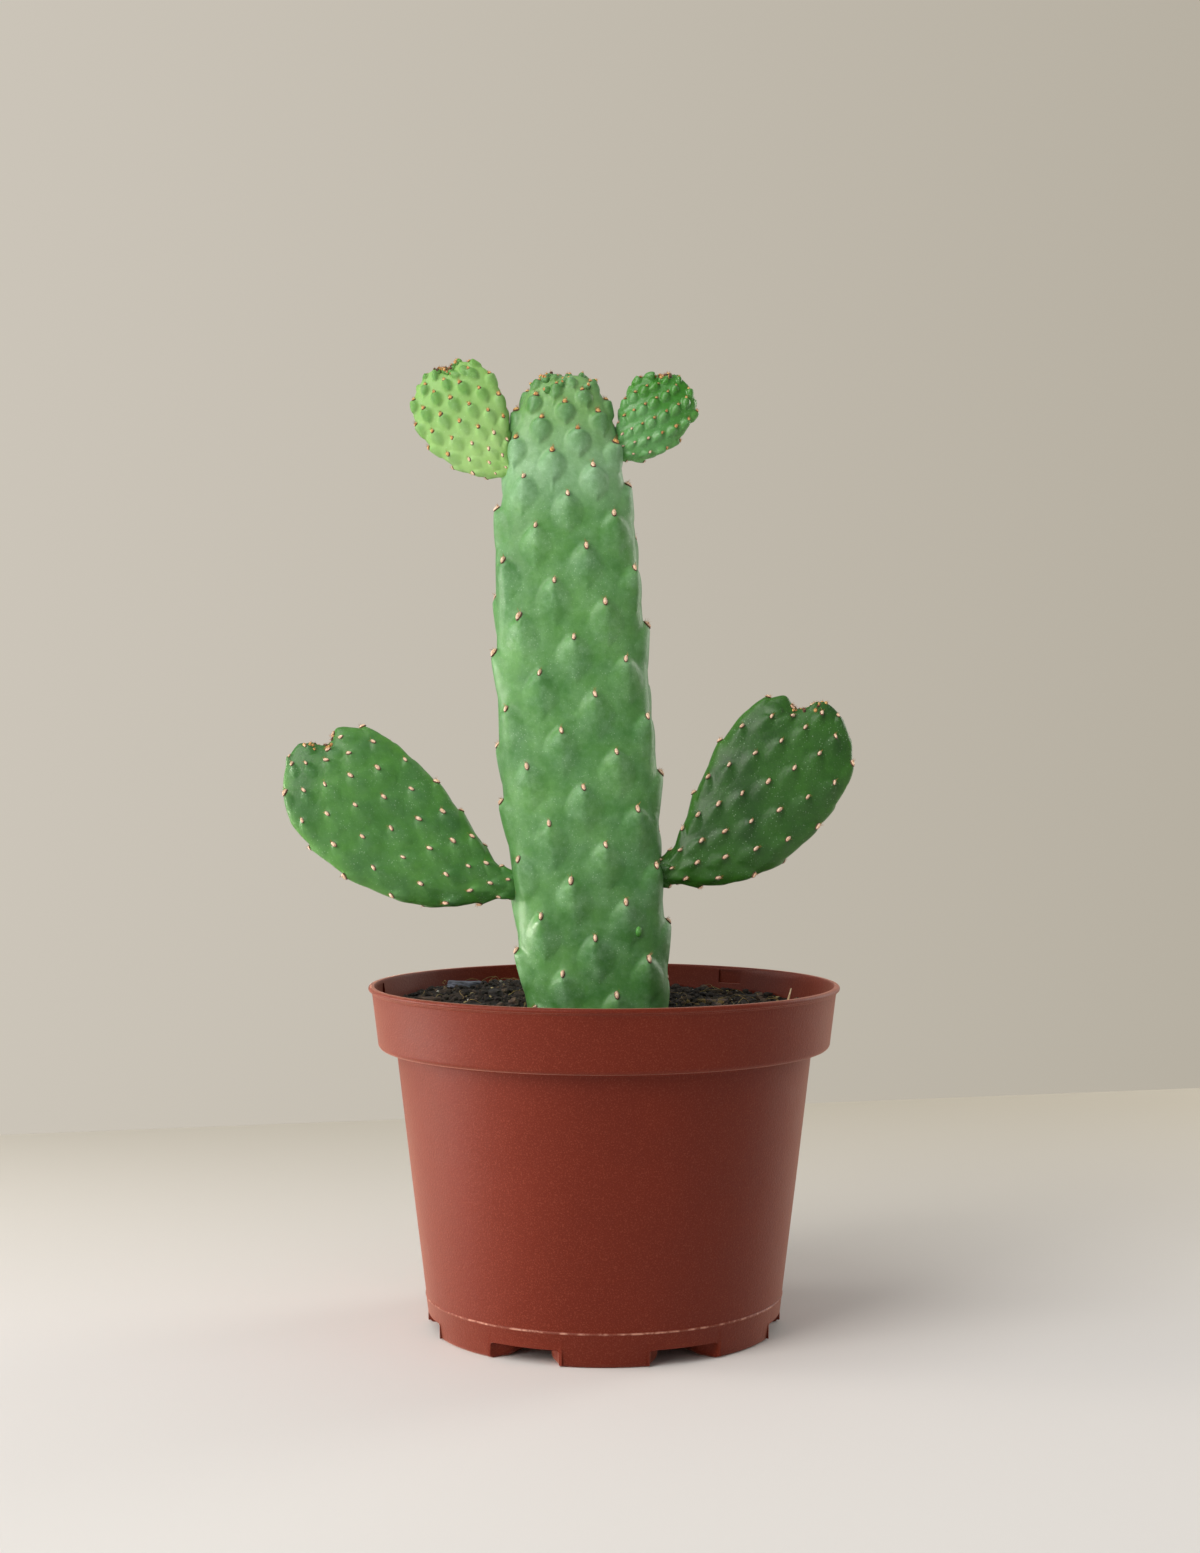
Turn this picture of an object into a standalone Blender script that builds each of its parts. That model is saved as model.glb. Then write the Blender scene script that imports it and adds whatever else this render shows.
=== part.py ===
"""Potted paddle cactus: five joined pads of a young prickly pear in a thin plastic nursery pot.

Metres, +Z up. The origin is the centre of the pot's flat underside, on the surface that the pot
stands on. The pads lie close to the XZ plane, and their broad front faces look towards -Y.
"""

import math

import bmesh
import bpy
from mathutils import Matrix, Vector

# Pot, an injection moulding with one wall thickness
POT_HEIGHT = 0.108
LIP_RADIUS = 0.075
LIP_BEAD = 0.0007  # radius of the bead along the rim
LIP_OVERHANG = 0.0009  # how far the bead stands out from the collar
COLLAR_HEIGHT = 0.0196
COLLAR_CORNER = 0.0015
SHOULDER = 0.0054  # step from the collar in to the body
POT_WALL = 0.0010
FLOOR_THICKNESS = 0.0012
FOOT_CORNER = 0.0006
DRAFT = math.tan(math.radians(7.0))  # taper of the collar and of the body

# Drainage channels, raised tunnels that open through the foot of the wall
CHANNEL_COUNT = 7
FIRST_CHANNEL_DEG = -25.7  # from the front, positive towards +X
CHANNEL_HEIGHT = 0.0050
CHANNEL_MOUTH = 0.0230
CHANNEL_END = 0.0100
CHANNEL_LENGTH = 0.0180
DRAIN_RADIUS = 0.0036
DRAIN_INSET = 0.0095  # from the foot of the wall to a drain hole's centre

# Recesses inside the collar
RECESS_COUNT = 3
FIRST_RECESS_DEG = 143.0
RECESS_WIDTH = 0.0088
RECESS_HEIGHT = 0.0058
RECESS_DEPTH = 0.0005

# Potting mix
SOIL_BELOW_RIM = 0.0080
MOUND_HEIGHT = 0.0036
MOUND_SPREAD = 0.030
RELIEF = 0.0007

# Main stem, the oldest and longest pad
STEM_HEIGHT = 0.2035  # above the mix at the wall
STEM_WIDTH = 0.0524
STEM_THICKNESS = 0.0230
STEM_BURIED = 0.024
STEM_LEAN = -0.0130  # sideways offset of its tip
STEM_FOOT_X = -0.0020

# Side pads. turn is from the face plane, about the pad's own length.
# height is the neck's share of the stem's height, bend how near to the neck the pad curves.
PADS = {
    "lower_left_pad": {
        "side": -1, "height": 0.192, "length": 0.0826, "width": 0.0426, "thickness": 0.0115,
        "start_deg": 2.0, "end_deg": 44.0, "bend": 2.6, "turn_deg": 6.0,
        "neck": 0.0046, "notch": 0.0062, "notch_above": 0.0062,
    },
    "lower_right_pad": {
        "side": 1, "height": 0.211, "length": 0.0764, "width": 0.0413, "thickness": 0.0112,
        "start_deg": 5.0, "end_deg": 57.5, "bend": 3.0, "turn_deg": 5.0,
        "neck": 0.0046, "notch": 0.0058, "notch_above": 0.0064,
    },
    "upper_left_pad": {
        "side": -1, "height": 0.842, "length": 0.0392, "width": 0.0306, "thickness": 0.0086,
        "start_deg": 11.0, "end_deg": 62.0, "bend": 4.0, "turn_deg": -12.0,
        "neck": 0.0042, "notch": 0.0030, "notch_above": 0.0031,
    },
    "upper_right_pad": {
        "side": 1, "height": 0.868, "length": 0.0304, "width": 0.0238, "thickness": 0.0080,
        "start_deg": 9.0, "end_deg": 63.0, "bend": 2.9, "turn_deg": 8.0,
        "neck": 0.0034, "notch": 0.0030, "notch_above": 0.0037,
    },
}
NECK_SUNK = 0.005  # how far a pad's shape starts inside the stem before it is cut off there

# Roots
ROOT_CROWN_RADIUS = 0.0095
ROOT_DEPTH = 0.062
ROOT_COUNT = 6
ROOT_REACH = 0.043
ROOT_RADIUS = 0.0021
ROOT_TIP = 0.0008

# Bark chips in the mix: bearing from the front in degrees, share of the way from stem to wall,
# length, width, thickness and yaw in degrees
CHIPS = (
    (-122, 0.74, 0.0125, 0.0062, 0.0030, 24),
    (-112, 0.30, 0.0085, 0.0060, 0.0028, 70),
    (-97, 0.72, 0.0080, 0.0056, 0.0026, -35),
    (-84, 0.32, 0.0110, 0.0070, 0.0030, 10),
    (-70, 0.74, 0.0095, 0.0060, 0.0026, 55),
    (-57, 0.50, 0.0120, 0.0066, 0.0028, -15),
    (58, 0.54, 0.0085, 0.0064, 0.0030, 30),
    (71, 0.76, 0.0105, 0.0058, 0.0026, 80),
    (85, 0.30, 0.0090, 0.0070, 0.0030, 5),
    (99, 0.74, 0.0110, 0.0064, 0.0028, -28),
    (112, 0.34, 0.0080, 0.0058, 0.0026, 45),
    (124, 0.82, 0.0115, 0.0068, 0.0030, 12),
)

GAP = 0.0003  # clearance between pieces that touch
TURN_STEPS = 64

# Outlines as shares: (share of height, share of width, share of thickness)
STEM_OUTLINE = (
    (-0.12, 0.60, 0.66),
    (0.00, 0.90, 0.92),
    (0.20, 0.955, 0.98),
    (0.40, 1.00, 1.00),
    (0.53, 0.96, 0.98),
    (0.68, 0.92, 0.94),
    (0.76, 0.875, 0.88),
    (0.83, 0.77, 0.80),
    (0.90, 0.705, 0.72),
    (0.95, 0.59, 0.62),
    (1.00, 0.46, 0.50),
)
STEM_TIP_ROUND = 0.075  # share of the height that rounds off at the tip
STEM_FOOT_ROUND = 0.05
PAD_OUTLINE = (
    (0.00, 0.22, 0.60),
    (0.10, 0.25, 0.66),
    (0.24, 0.59, 0.86),
    (0.40, 0.86, 0.97),
    (0.57, 1.00, 1.00),
    (0.71, 1.01, 0.97),
    (0.84, 0.98, 0.88),
    (1.00, 0.88, 0.72),
)
PAD_TIP_ROUND = 0.26
NOTCH_SPREAD = 0.16  # share of a pad's width on each side of its notch
NOTCH_START = 0.8  # share of the length where the notch begins to sink in


def plain_material(name, red, green, blue, roughness):
    """A Principled material with one linear colour."""
    made = bpy.data.materials.new(name)
    made.use_nodes = True
    shader = made.node_tree.nodes["Principled BSDF"]
    shader.inputs["Base Color"].default_value = (red, green, blue, 1)
    shader.inputs["Roughness"].default_value = roughness
    shader.inputs["Metallic"].default_value = 0.0
    return made


def new_collection(name, hidden=False):
    made = bpy.data.collections.new(name)
    bpy.context.scene.collection.children.link(made)
    made.hide_render = hidden
    return made


def place(name, mesh, collection, material=None, smooth=True):
    """An object for the mesh, in the collection."""
    made = bpy.data.objects.new(name, mesh)
    collection.objects.link(made)
    if material:
        mesh.materials.clear()
        mesh.materials.append(material)
    if smooth:
        mesh.shade_smooth()
        mesh.set_sharp_from_angle(angle=math.radians(35))
    return made


def place_cutter(name, mesh, collection):
    made = place(name, mesh, collection, smooth=False)
    made.hide_render = True
    made.display_type = "WIRE"
    return made


def combine(target, operation, tool):
    """A Boolean of target with the tool object."""
    modifier = target.modifiers.new(operation.title() + "_" + tool.name, "BOOLEAN")
    modifier.operation = operation
    modifier.object = tool


def evaluated_mesh(source, name):
    """The mesh that an object's modifiers or its curve make, in world space, with its ends welded."""
    bpy.context.view_layer.update()
    graph = bpy.context.evaluated_depsgraph_get()
    mesh = bpy.data.meshes.new_from_object(source.evaluated_get(graph))
    mesh.name = name
    mesh.transform(source.matrix_world)
    soft = bmesh.new()
    soft.from_mesh(mesh)
    bmesh.ops.remove_doubles(soft, verts=soft.verts, dist=1e-6)
    soft.to_mesh(mesh)
    soft.free()
    bpy.data.objects.remove(source)
    return mesh


def turned_mesh(name, profile, steps=TURN_STEPS):
    """A solid of revolution about Z from (radius, height) points that end on the axis."""
    line = bpy.data.meshes.new(name + "_profile")
    points = [(radius, 0, height) for radius, height in profile]
    line.from_pydata(points, [(i, i + 1) for i in range(len(points) - 1)], [])
    source = bpy.data.objects.new(name + "_profile", line)
    bpy.context.scene.collection.objects.link(source)
    screw = source.modifiers.new("Turn", "SCREW")
    screw.steps = screw.render_steps = steps
    screw.use_merge_vertices = True
    screw.merge_threshold = 1e-6
    return evaluated_mesh(source, name)


def prism_mesh(name, outline, low, high):
    """A flat outline of (x, y) points, filled and extruded from height low to height high."""
    curve = bpy.data.curves.new(name, "CURVE")
    curve.dimensions = "2D"
    curve.fill_mode = "BOTH"
    curve.extrude = (high - low) / 2
    spline = curve.splines.new("POLY")
    spline.points.add(len(outline) - 1)
    for point, (x, y) in zip(spline.points, outline):
        point.co = (x, y, 0, 1)
    spline.use_cyclic_u = True
    source = bpy.data.objects.new(name, curve)
    bpy.context.scene.collection.objects.link(source)
    source.location.z = (low + high) / 2
    return evaluated_mesh(source, name)


def arc(centre_r, centre_z, radius, start_deg, end_deg, count):
    """Profile points on an arc. 0 degrees points outwards and 90 up."""
    found = []
    for i in range(count):
        angle = math.radians(start_deg + (end_deg - start_deg) * i / (count - 1))
        found.append((centre_r + radius * math.cos(angle), centre_z + radius * math.sin(angle)))
    return found


def through(stations, at, column):
    """A smooth curve through one column of the stations, read where the first column is at."""
    at = min(max(at, stations[0][0]), stations[-1][0])
    i = next((k for k in range(len(stations) - 2) if at < stations[k + 1][0]), len(stations) - 2)
    slopes = []
    for k in (i, i + 1):
        before, after = stations[max(k - 1, 0)], stations[min(k + 1, len(stations) - 1)]
        slopes.append((after[column] - before[column]) / (after[0] - before[0]))
    left, right = stations[i], stations[i + 1]
    span = right[0] - left[0]
    t = (at - left[0]) / span
    return (
        (2 * t**3 - 3 * t**2 + 1) * left[column]
        + (t**3 - 2 * t**2 + t) * span * slopes[0]
        + (3 * t**2 - 2 * t**3) * right[column]
        + (t**3 - t**2) * span * slopes[1]
    )


def round_off(distance, cap, power=2.0):
    """From 0 at an end to 1 at the cap's length from it: a quarter circle, or squarer."""
    return max(0.0, 1 - (1 - min(distance / cap, 1)) ** power) ** (1 / power)


def ring_share(sphere_z):
    """How far down a UV sphere a ring lies, from 0 to 1, with the rings closer at the poles."""
    polar = math.acos(min(max(sphere_z, -1), 1)) / math.pi
    return 0.35 * polar + 0.65 * (1 - sphere_z) / 2


# ---- pot


def outer_radius(height):
    """Radius of the pot's outer wall below the shoulder, or of the collar above it."""
    collar_top = LIP_RADIUS - LIP_OVERHANG
    radius = collar_top - (POT_HEIGHT - height) * DRAFT
    return radius if height > shoulder_height() else radius - SHOULDER


def shoulder_height():
    return POT_HEIGHT - COLLAR_HEIGHT


def inner_wall(clearance=0.0):
    """(radius, height) points up the inside of the pot, from the floor to below the rim."""
    inset = POT_WALL + clearance
    floor_top = FLOOR_THICKNESS + clearance
    ledge = shoulder_height() + POT_WALL + clearance
    return [
        (outer_radius(floor_top) - inset, floor_top),
        (outer_radius(shoulder_height()) - inset, ledge),
        (outer_radius(ledge) - inset, ledge + COLLAR_CORNER),
    ]


def pot_profile():
    collar_foot = shoulder_height()
    bead_r, bead_z = LIP_RADIUS - LIP_BEAD, POT_HEIGHT - LIP_BEAD
    inner_top = outer_radius(bead_z - LIP_BEAD) - POT_WALL
    corner_z = collar_foot + COLLAR_CORNER
    corner_r = outer_radius(corner_z) - COLLAR_CORNER
    return [
        (0, FLOOR_THICKNESS),
        *inner_wall(),
        (inner_top, bead_z - LIP_BEAD),
        (inner_top, POT_HEIGHT - LIP_BEAD / 3),
        (inner_top + LIP_BEAD / 3, POT_HEIGHT),
        *arc(bead_r, bead_z, LIP_BEAD, 90, -90, 6),
        (outer_radius(bead_z - 2 * LIP_BEAD), bead_z - 2 * LIP_BEAD),
        *arc(corner_r, corner_z, COLLAR_CORNER, 0, -90, 4),
        (outer_radius(collar_foot), collar_foot),
        (outer_radius(FOOT_CORNER), FOOT_CORNER),
        (outer_radius(0) - FOOT_CORNER, 0),
        (0, 0),
    ]


def channel_outline(margin, reach):
    """Plan of a drainage channel along +X: a wedge that opens towards the wall, out to reach."""
    foot = outer_radius(0)
    start = foot - CHANNEL_LENGTH
    slope = (CHANNEL_MOUTH - CHANNEL_END) / 2 / CHANNEL_LENGTH

    def half(x):
        return CHANNEL_END / 2 + (x - start) * slope + margin

    corner = CHANNEL_END / 5
    end = start - margin
    lower = [(reach, -half(reach)), (start + corner, -half(start + corner))]
    lower += [(end + corner / 3, -half(start) + corner / 2), (end, -half(start) + corner + margin)]
    return lower + [(x, -y) for x, y in reversed(lower)]


def copies_around(name, mesh, angles_deg):
    """One mesh of the given mesh turned about Z to each bearing from the front."""
    joined = bmesh.new()
    for angle in angles_deg:
        turned = mesh.copy()
        turned.transform(Matrix.Rotation(math.radians(angle - 90), 4, "Z"))
        joined.from_mesh(turned)
        bpy.data.meshes.remove(turned)
    result = bpy.data.meshes.new(name)
    joined.to_mesh(result)
    joined.free()
    return result


def channel_bearings():
    return [FIRST_CHANNEL_DEG + 360 * i / CHANNEL_COUNT for i in range(CHANNEL_COUNT)]


def channel_covers(cutters, clearance=0.0):
    """The solid blocks that the channels are hollowed from, trimmed to the middle of the wall."""
    top = CHANNEL_HEIGHT + POT_WALL
    outline = channel_outline(POT_WALL + clearance, LIP_RADIUS)
    block = prism_mesh("channel_cover", outline, FLOOR_THICKNESS / 2, top + clearance)
    label = "soil_channels" if clearance else "channel_covers"
    covers = place_cutter(label, copies_around(label, block, channel_bearings()), cutters)
    if clearance:
        return covers
    plug_profile = [
        (0, 2 * top),
        (outer_radius(2 * top) - POT_WALL / 2, 2 * top),
        (outer_radius(0) - POT_WALL / 2, 0),
        (0, 0),
    ]
    plug = place_cutter("wall_middle", turned_mesh("wall_middle", plug_profile), cutters)
    combine(covers, "INTERSECT", plug)
    return covers


def build_pot(parts, cutters):
    plastic = plain_material("terracotta_plastic", 0.240, 0.046, 0.025, 0.55)
    pot = place("pot", turned_mesh("pot", pot_profile()), parts, plastic)
    combine(pot, "UNION", channel_covers(cutters))

    tunnel = prism_mesh("tunnel", channel_outline(0, LIP_RADIUS), -FLOOR_THICKNESS, CHANNEL_HEIGHT)
    tunnels = copies_around("tunnels", tunnel, channel_bearings())
    combine(pot, "DIFFERENCE", place_cutter("tunnels", tunnels, cutters))

    drain = bmesh.new()
    drain_x = outer_radius(0) - DRAIN_INSET
    bmesh.ops.create_cone(
        drain, cap_ends=True, segments=14, radius1=DRAIN_RADIUS, radius2=DRAIN_RADIUS,
        depth=4 * POT_WALL, matrix=Matrix.Translation((drain_x, 0, CHANNEL_HEIGHT + POT_WALL)),
    )
    drain_mesh = bpy.data.meshes.new("drain")
    drain.to_mesh(drain_mesh)
    drain.free()
    drains = copies_around("drains", drain_mesh, channel_bearings())
    combine(pot, "DIFFERENCE", place_cutter("drains", drains, cutters))

    inner = outer_radius(POT_HEIGHT - RECESS_HEIGHT) - POT_WALL
    half = RECESS_WIDTH / 2
    plan = [(inner - RECESS_WIDTH / 2, -half)]
    for i in range(5):
        y = half * (i / 2 - 1)
        plan.append((math.sqrt((inner + RECESS_DEPTH) ** 2 - y * y), y))
    plan.append((inner - RECESS_WIDTH / 2, half))
    top = POT_HEIGHT - 2 * LIP_BEAD
    recess = prism_mesh("recess", plan, POT_HEIGHT - RECESS_HEIGHT, top)
    bearings = [FIRST_RECESS_DEG + 360 * i / RECESS_COUNT for i in range(RECESS_COUNT)]
    recesses = copies_around("recesses", recess, bearings)
    combine(pot, "DIFFERENCE", place_cutter("recesses", recesses, cutters))


# ---- plant


def stem_height_at(share):
    return POT_HEIGHT - SOIL_BELOW_RIM + share * STEM_HEIGHT


def stem_section(share):
    """Centre x, half width and half thickness of the stem at a share of its height."""
    centre = STEM_FOOT_X + (STEM_LEAN - STEM_FOOT_X) * math.sin(math.pi / 2 * min(max(share, 0), 1))
    width = STEM_WIDTH / 2 * through(STEM_OUTLINE, share, 1)
    thickness = STEM_THICKNESS / 2 * through(STEM_OUTLINE, share, 2)
    return centre, width, thickness


def stem_mesh(name, clearance=0.0):
    """A UV sphere whose rings are carried up the stem. clearance fattens it all round."""
    foot = -STEM_BURIED / STEM_HEIGHT
    shape = bmesh.new()
    bmesh.ops.create_uvsphere(shape, u_segments=20, v_segments=28, radius=1)
    for vertex in shape.verts:
        climb = 1 - ring_share(vertex.co.z)
        share = foot + (1 - foot) * climb
        centre, width, thickness = stem_section(share)
        rounding = round_off(1 - share, STEM_TIP_ROUND, 2.6)
        rounding *= round_off(share - foot, STEM_FOOT_ROUND)
        around = math.atan2(vertex.co.y, vertex.co.x)
        height = stem_height_at(share)
        if share == foot or climb < 1e-6:
            height -= clearance
        vertex.co = (
            centre + (width * rounding + clearance) * math.cos(around) * (rounding > 0),
            (thickness * rounding + clearance) * math.sin(around) * (rounding > 0),
            height,
        )
    mesh = bpy.data.meshes.new(name)
    shape.to_mesh(mesh)
    shape.free()
    return mesh


def pad_mesh(name, size):
    """A UV sphere whose rings are carried along the pad's bent middle line."""
    side = size["side"]
    centre, width, _ = stem_section(size["height"])
    start = Vector((centre + side * (width - NECK_SUNK), 0, stem_height_at(size["height"])))
    full = size["length"] + NECK_SUNK
    steps = 48
    line = [start]
    headings = []
    for i in range(steps + 1):
        share = i / steps
        swing = (1 - share) ** size["bend"]
        angle = math.radians(size["end_deg"] + (size["start_deg"] - size["end_deg"]) * swing)
        headings.append(Vector((side * math.cos(angle), 0, math.sin(angle))))
        line.append(line[-1] + headings[-1] * full / steps)
    turn = math.radians(size["turn_deg"])

    shape = bmesh.new()
    bmesh.ops.create_uvsphere(shape, u_segments=20, v_segments=16, radius=1)
    for vertex in shape.verts:
        share = ring_share(vertex.co.z)
        at = min(int(share * steps), steps - 1)
        heading = headings[at].lerp(headings[at + 1], share * steps - at).normalized()
        middle = line[at].lerp(line[at + 1], share * steps - at)
        rounding = round_off(1 - share, PAD_TIP_ROUND) * round_off(share, NECK_SUNK / full)
        neck = size["neck"] * (1 - min(share / 0.1, 1))
        half_width = max(size["width"] / 2 * through(PAD_OUTLINE, share, 1), neck) * rounding
        half_thick = size["thickness"] / 2 * through(PAD_OUTLINE, share, 2) * rounding
        around = math.atan2(vertex.co.y, vertex.co.x)
        across = half_width * math.cos(around)
        through_face = half_thick * math.sin(around)
        off_notch = (across - size["notch_above"]) / (size["width"] * NOTCH_SPREAD)
        sunk = size["notch"] * max(0.0, 1 - off_notch**2) ** 2
        edge = side * heading.cross(Vector((0, 1, 0))).normalized()
        edge, face = (
            edge * math.cos(turn) + Vector((0, 1, 0)) * math.sin(turn),
            Vector((0, 1, 0)) * math.cos(turn) - edge * math.sin(turn),
        )
        back = sunk * max(0.0, (share - NOTCH_START) / (1 - NOTCH_START))
        vertex.co = middle + edge * across + face * through_face - heading * back
    bmesh.ops.recalc_face_normals(shape, faces=shape.faces)
    mesh = bpy.data.meshes.new(name)
    shape.to_mesh(mesh)
    shape.free()
    return mesh


def root_paths():
    """Points and radii of the tap root and of the side roots that spread from it."""
    top = stem_height_at(0) - STEM_BURIED
    centre = stem_section(0)[0]
    tap = []
    for i in range(6):
        share = i / 5
        radius = ROOT_CROWN_RADIUS * (1 - share) ** 1.3 + ROOT_RADIUS
        point = Vector((centre + 0.002 * math.sin(3 * share), 0, top - GAP - ROOT_DEPTH * share))
        tap.append((point, radius))
    paths = [tap]
    for k in range(ROOT_COUNT):
        bearing = 2 * math.pi * (k + 0.3) / ROOT_COUNT
        out = Vector((math.cos(bearing), math.sin(bearing), 0))
        begin = tap[1][0] - Vector((0, 0, 0.004 * (k % 3)))
        side = []
        for i in range(7):
            share = i / 6
            drop = ROOT_DEPTH * (0.16 + 0.05 * (k % 3)) * share**1.6
            sway = Vector((-out.y, out.x, 0)) * 0.004 * math.sin(4 * share + k)
            point = begin + out * ROOT_REACH * share + sway - Vector((0, 0, drop))
            side.append((point, ROOT_RADIUS + (ROOT_TIP - ROOT_RADIUS) * share))
        paths.append(side)
    return paths


def root_pieces(name, collection, clearance=0.0):
    """One tapered tube for each root, as mesh objects."""
    made = []
    for k, path in enumerate(root_paths()):
        curve = bpy.data.curves.new(f"{name}_{k}", "CURVE")
        curve.dimensions = "3D"
        curve.bevel_depth = 1.0
        curve.bevel_resolution = 1
        curve.use_fill_caps = True
        spline = curve.splines.new("POLY")
        spline.points.add(len(path) - 1)
        for i, (point, (co, radius)) in enumerate(zip(spline.points, path)):
            if clearance and i == len(path) - 1:
                co = co + (co - path[-2][0]).normalized() * clearance
            if clearance and i == 0:
                co = co + (co - path[1][0]).normalized() * 3 * clearance
            point.co = (*co, 1)
            point.radius = radius + clearance
        source = bpy.data.objects.new(f"{name}_{k}", curve)
        bpy.context.scene.collection.objects.link(source)
        made.append(place_cutter(f"{name}_{k}", evaluated_mesh(source, f"{name}_{k}"), collection))
    return made


def build_plant(parts, cutters):
    skin = plain_material("stem_skin", 0.110, 0.290, 0.085, 0.45)
    young_skin = plain_material("young_skin", 0.190, 0.420, 0.075, 0.40)
    root_bark = plain_material("root_bark", 0.260, 0.170, 0.090, 0.80)
    place("main_stem", stem_mesh("main_stem"), parts, skin)
    clear_of_stem = place_cutter("stem_room", stem_mesh("stem_room", GAP), cutters)
    for name, size in PADS.items():
        material = young_skin if name.startswith("upper") else skin
        pad = place(name, pad_mesh(name, size), parts, material)
        combine(pad, "DIFFERENCE", clear_of_stem)
    tap, *sides = root_pieces("root", cutters)
    roots = place("roots", tap.data.copy(), parts, root_bark)
    for side in sides:
        combine(roots, "UNION", side)
    combine(roots, "DIFFERENCE", clear_of_stem)
    return clear_of_stem


# ---- potting mix


def soil_height(x, y):
    """Height of the mix's surface, a low mound around the stem with gentle relief."""
    distance = math.hypot(x - STEM_FOOT_X, y)
    mound = MOUND_HEIGHT * math.exp(-((distance / MOUND_SPREAD) ** 2))
    waves = math.sin(95 * x + 0.8) * math.cos(80 * y - 0.4) + 0.5 * math.sin(170 * y + 60 * x)
    return POT_HEIGHT - SOIL_BELOW_RIM + mound + RELIEF * waves


def build_soil(parts, cutters, clear_of_stem):
    mix = plain_material("potting_mix", 0.030, 0.022, 0.016, 0.95)
    level = POT_HEIGHT - SOIL_BELOW_RIM
    rim = outer_radius(level) - POT_WALL - GAP
    rings = 6
    top = [(rim * i / rings, level) for i in range(rings + 1)]
    wall = [(r, z) for r, z in reversed(inner_wall(GAP))]
    mesh = turned_mesh("soil", [*top, *wall, (0, wall[-1][1])], steps=40)
    for vertex in mesh.vertices:
        x, y, z = vertex.co
        if z > level - 1e-6:
            vertex.co.z = soil_height(x, y)
    soil = place("soil", mesh, parts, mix)
    combine(soil, "DIFFERENCE", channel_covers(cutters, GAP))
    combine(soil, "DIFFERENCE", clear_of_stem)
    for root in root_pieces("root_room", cutters, GAP):
        combine(soil, "DIFFERENCE", root)


def build_chips(parts):
    bark = plain_material("bark", 0.090, 0.060, 0.045, 0.90)
    wall = outer_radius(POT_HEIGHT - SOIL_BELOW_RIM) - POT_WALL
    for number, (bearing, share, length, width, thickness, yaw) in enumerate(CHIPS, 1):
        angle = math.radians(bearing - 90)
        out = Vector((math.cos(angle), math.sin(angle)))
        clear = math.hypot(length, width) / 2
        stem_x, half_width, half_thick = stem_section(0)
        at_stem = half_width * half_thick / math.hypot(half_thick * out.x, half_width * out.y)
        near = at_stem + abs(stem_x) + clear
        far = wall - clear
        middle = out * (near + (far - near) * share)
        reach = clear * 0.8
        under = max(
            soil_height(middle.x + dx * reach, middle.y + dy * reach)
            for dx in (-1, -0.5, 0, 0.5, 1)
            for dy in (-1, -0.5, 0, 0.5, 1)
        )
        shape = bmesh.new()
        bmesh.ops.create_icosphere(shape, subdivisions=2, radius=1)
        for vertex in shape.verts:
            x, y, z = vertex.co
            rough = 1 + 0.10 * math.sin(5 * x + number) * math.cos(4 * y - 2 * number)
            vertex.co = (
                math.copysign(abs(x) ** 0.6, x) * rough * length / 2,
                math.copysign(abs(y) ** 0.6, y) * rough * width / 2,
                math.copysign(abs(z) ** 0.7, z) * thickness / 2,
            )
        mesh = bpy.data.meshes.new(f"bark_chip_{number:02d}")
        shape.to_mesh(mesh)
        shape.free()
        chip = place(f"bark_chip_{number:02d}", mesh, parts, bark)
        chip.location = (middle.x, middle.y, under + GAP + thickness / 2)
        chip.rotation_euler.z = math.radians(yaw)


def main():
    for leftover in list(bpy.data.objects):
        bpy.data.objects.remove(leftover)
    parts = new_collection("potted_paddle_cactus")
    cutters = new_collection("cutters", hidden=True)
    build_pot(parts, cutters)
    clear_of_stem = build_plant(parts, cutters)
    build_soil(parts, cutters, clear_of_stem)
    build_chips(parts)


main()
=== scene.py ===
"""Potted paddle cactus: the looks of a young prickly pear in its plastic nursery pot.

Metres, +Z up. The broad front faces of the pads look towards -Y.
"""

import math
import random

import bmesh
import bpy
import numpy as np
from mathutils import Matrix, Vector, noise
from mathutils.bvhtree import BVHTree


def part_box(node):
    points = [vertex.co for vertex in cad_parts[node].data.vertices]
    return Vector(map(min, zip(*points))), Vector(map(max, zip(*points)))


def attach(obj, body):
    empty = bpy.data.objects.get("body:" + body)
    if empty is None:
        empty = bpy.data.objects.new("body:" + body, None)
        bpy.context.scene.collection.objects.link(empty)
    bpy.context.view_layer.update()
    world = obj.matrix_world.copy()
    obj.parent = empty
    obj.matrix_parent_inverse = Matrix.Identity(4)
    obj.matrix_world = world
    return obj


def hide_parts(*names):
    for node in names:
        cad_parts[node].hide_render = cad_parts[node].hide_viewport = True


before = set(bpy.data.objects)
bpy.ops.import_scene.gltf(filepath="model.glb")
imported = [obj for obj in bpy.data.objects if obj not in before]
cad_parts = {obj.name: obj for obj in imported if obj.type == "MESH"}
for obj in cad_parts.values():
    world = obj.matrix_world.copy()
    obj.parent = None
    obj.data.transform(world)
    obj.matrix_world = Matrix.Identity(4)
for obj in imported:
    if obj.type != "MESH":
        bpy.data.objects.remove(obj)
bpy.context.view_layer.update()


# ---- pot
# One injection moulding in brick-red polypropylene, 1 mm thick, with a collar under a beaded lip.
# Seven drainage tunnels are moulded up into its foot, and a line of flash runs round the wall
# where the base insert of the mould meets the cavity.

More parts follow.
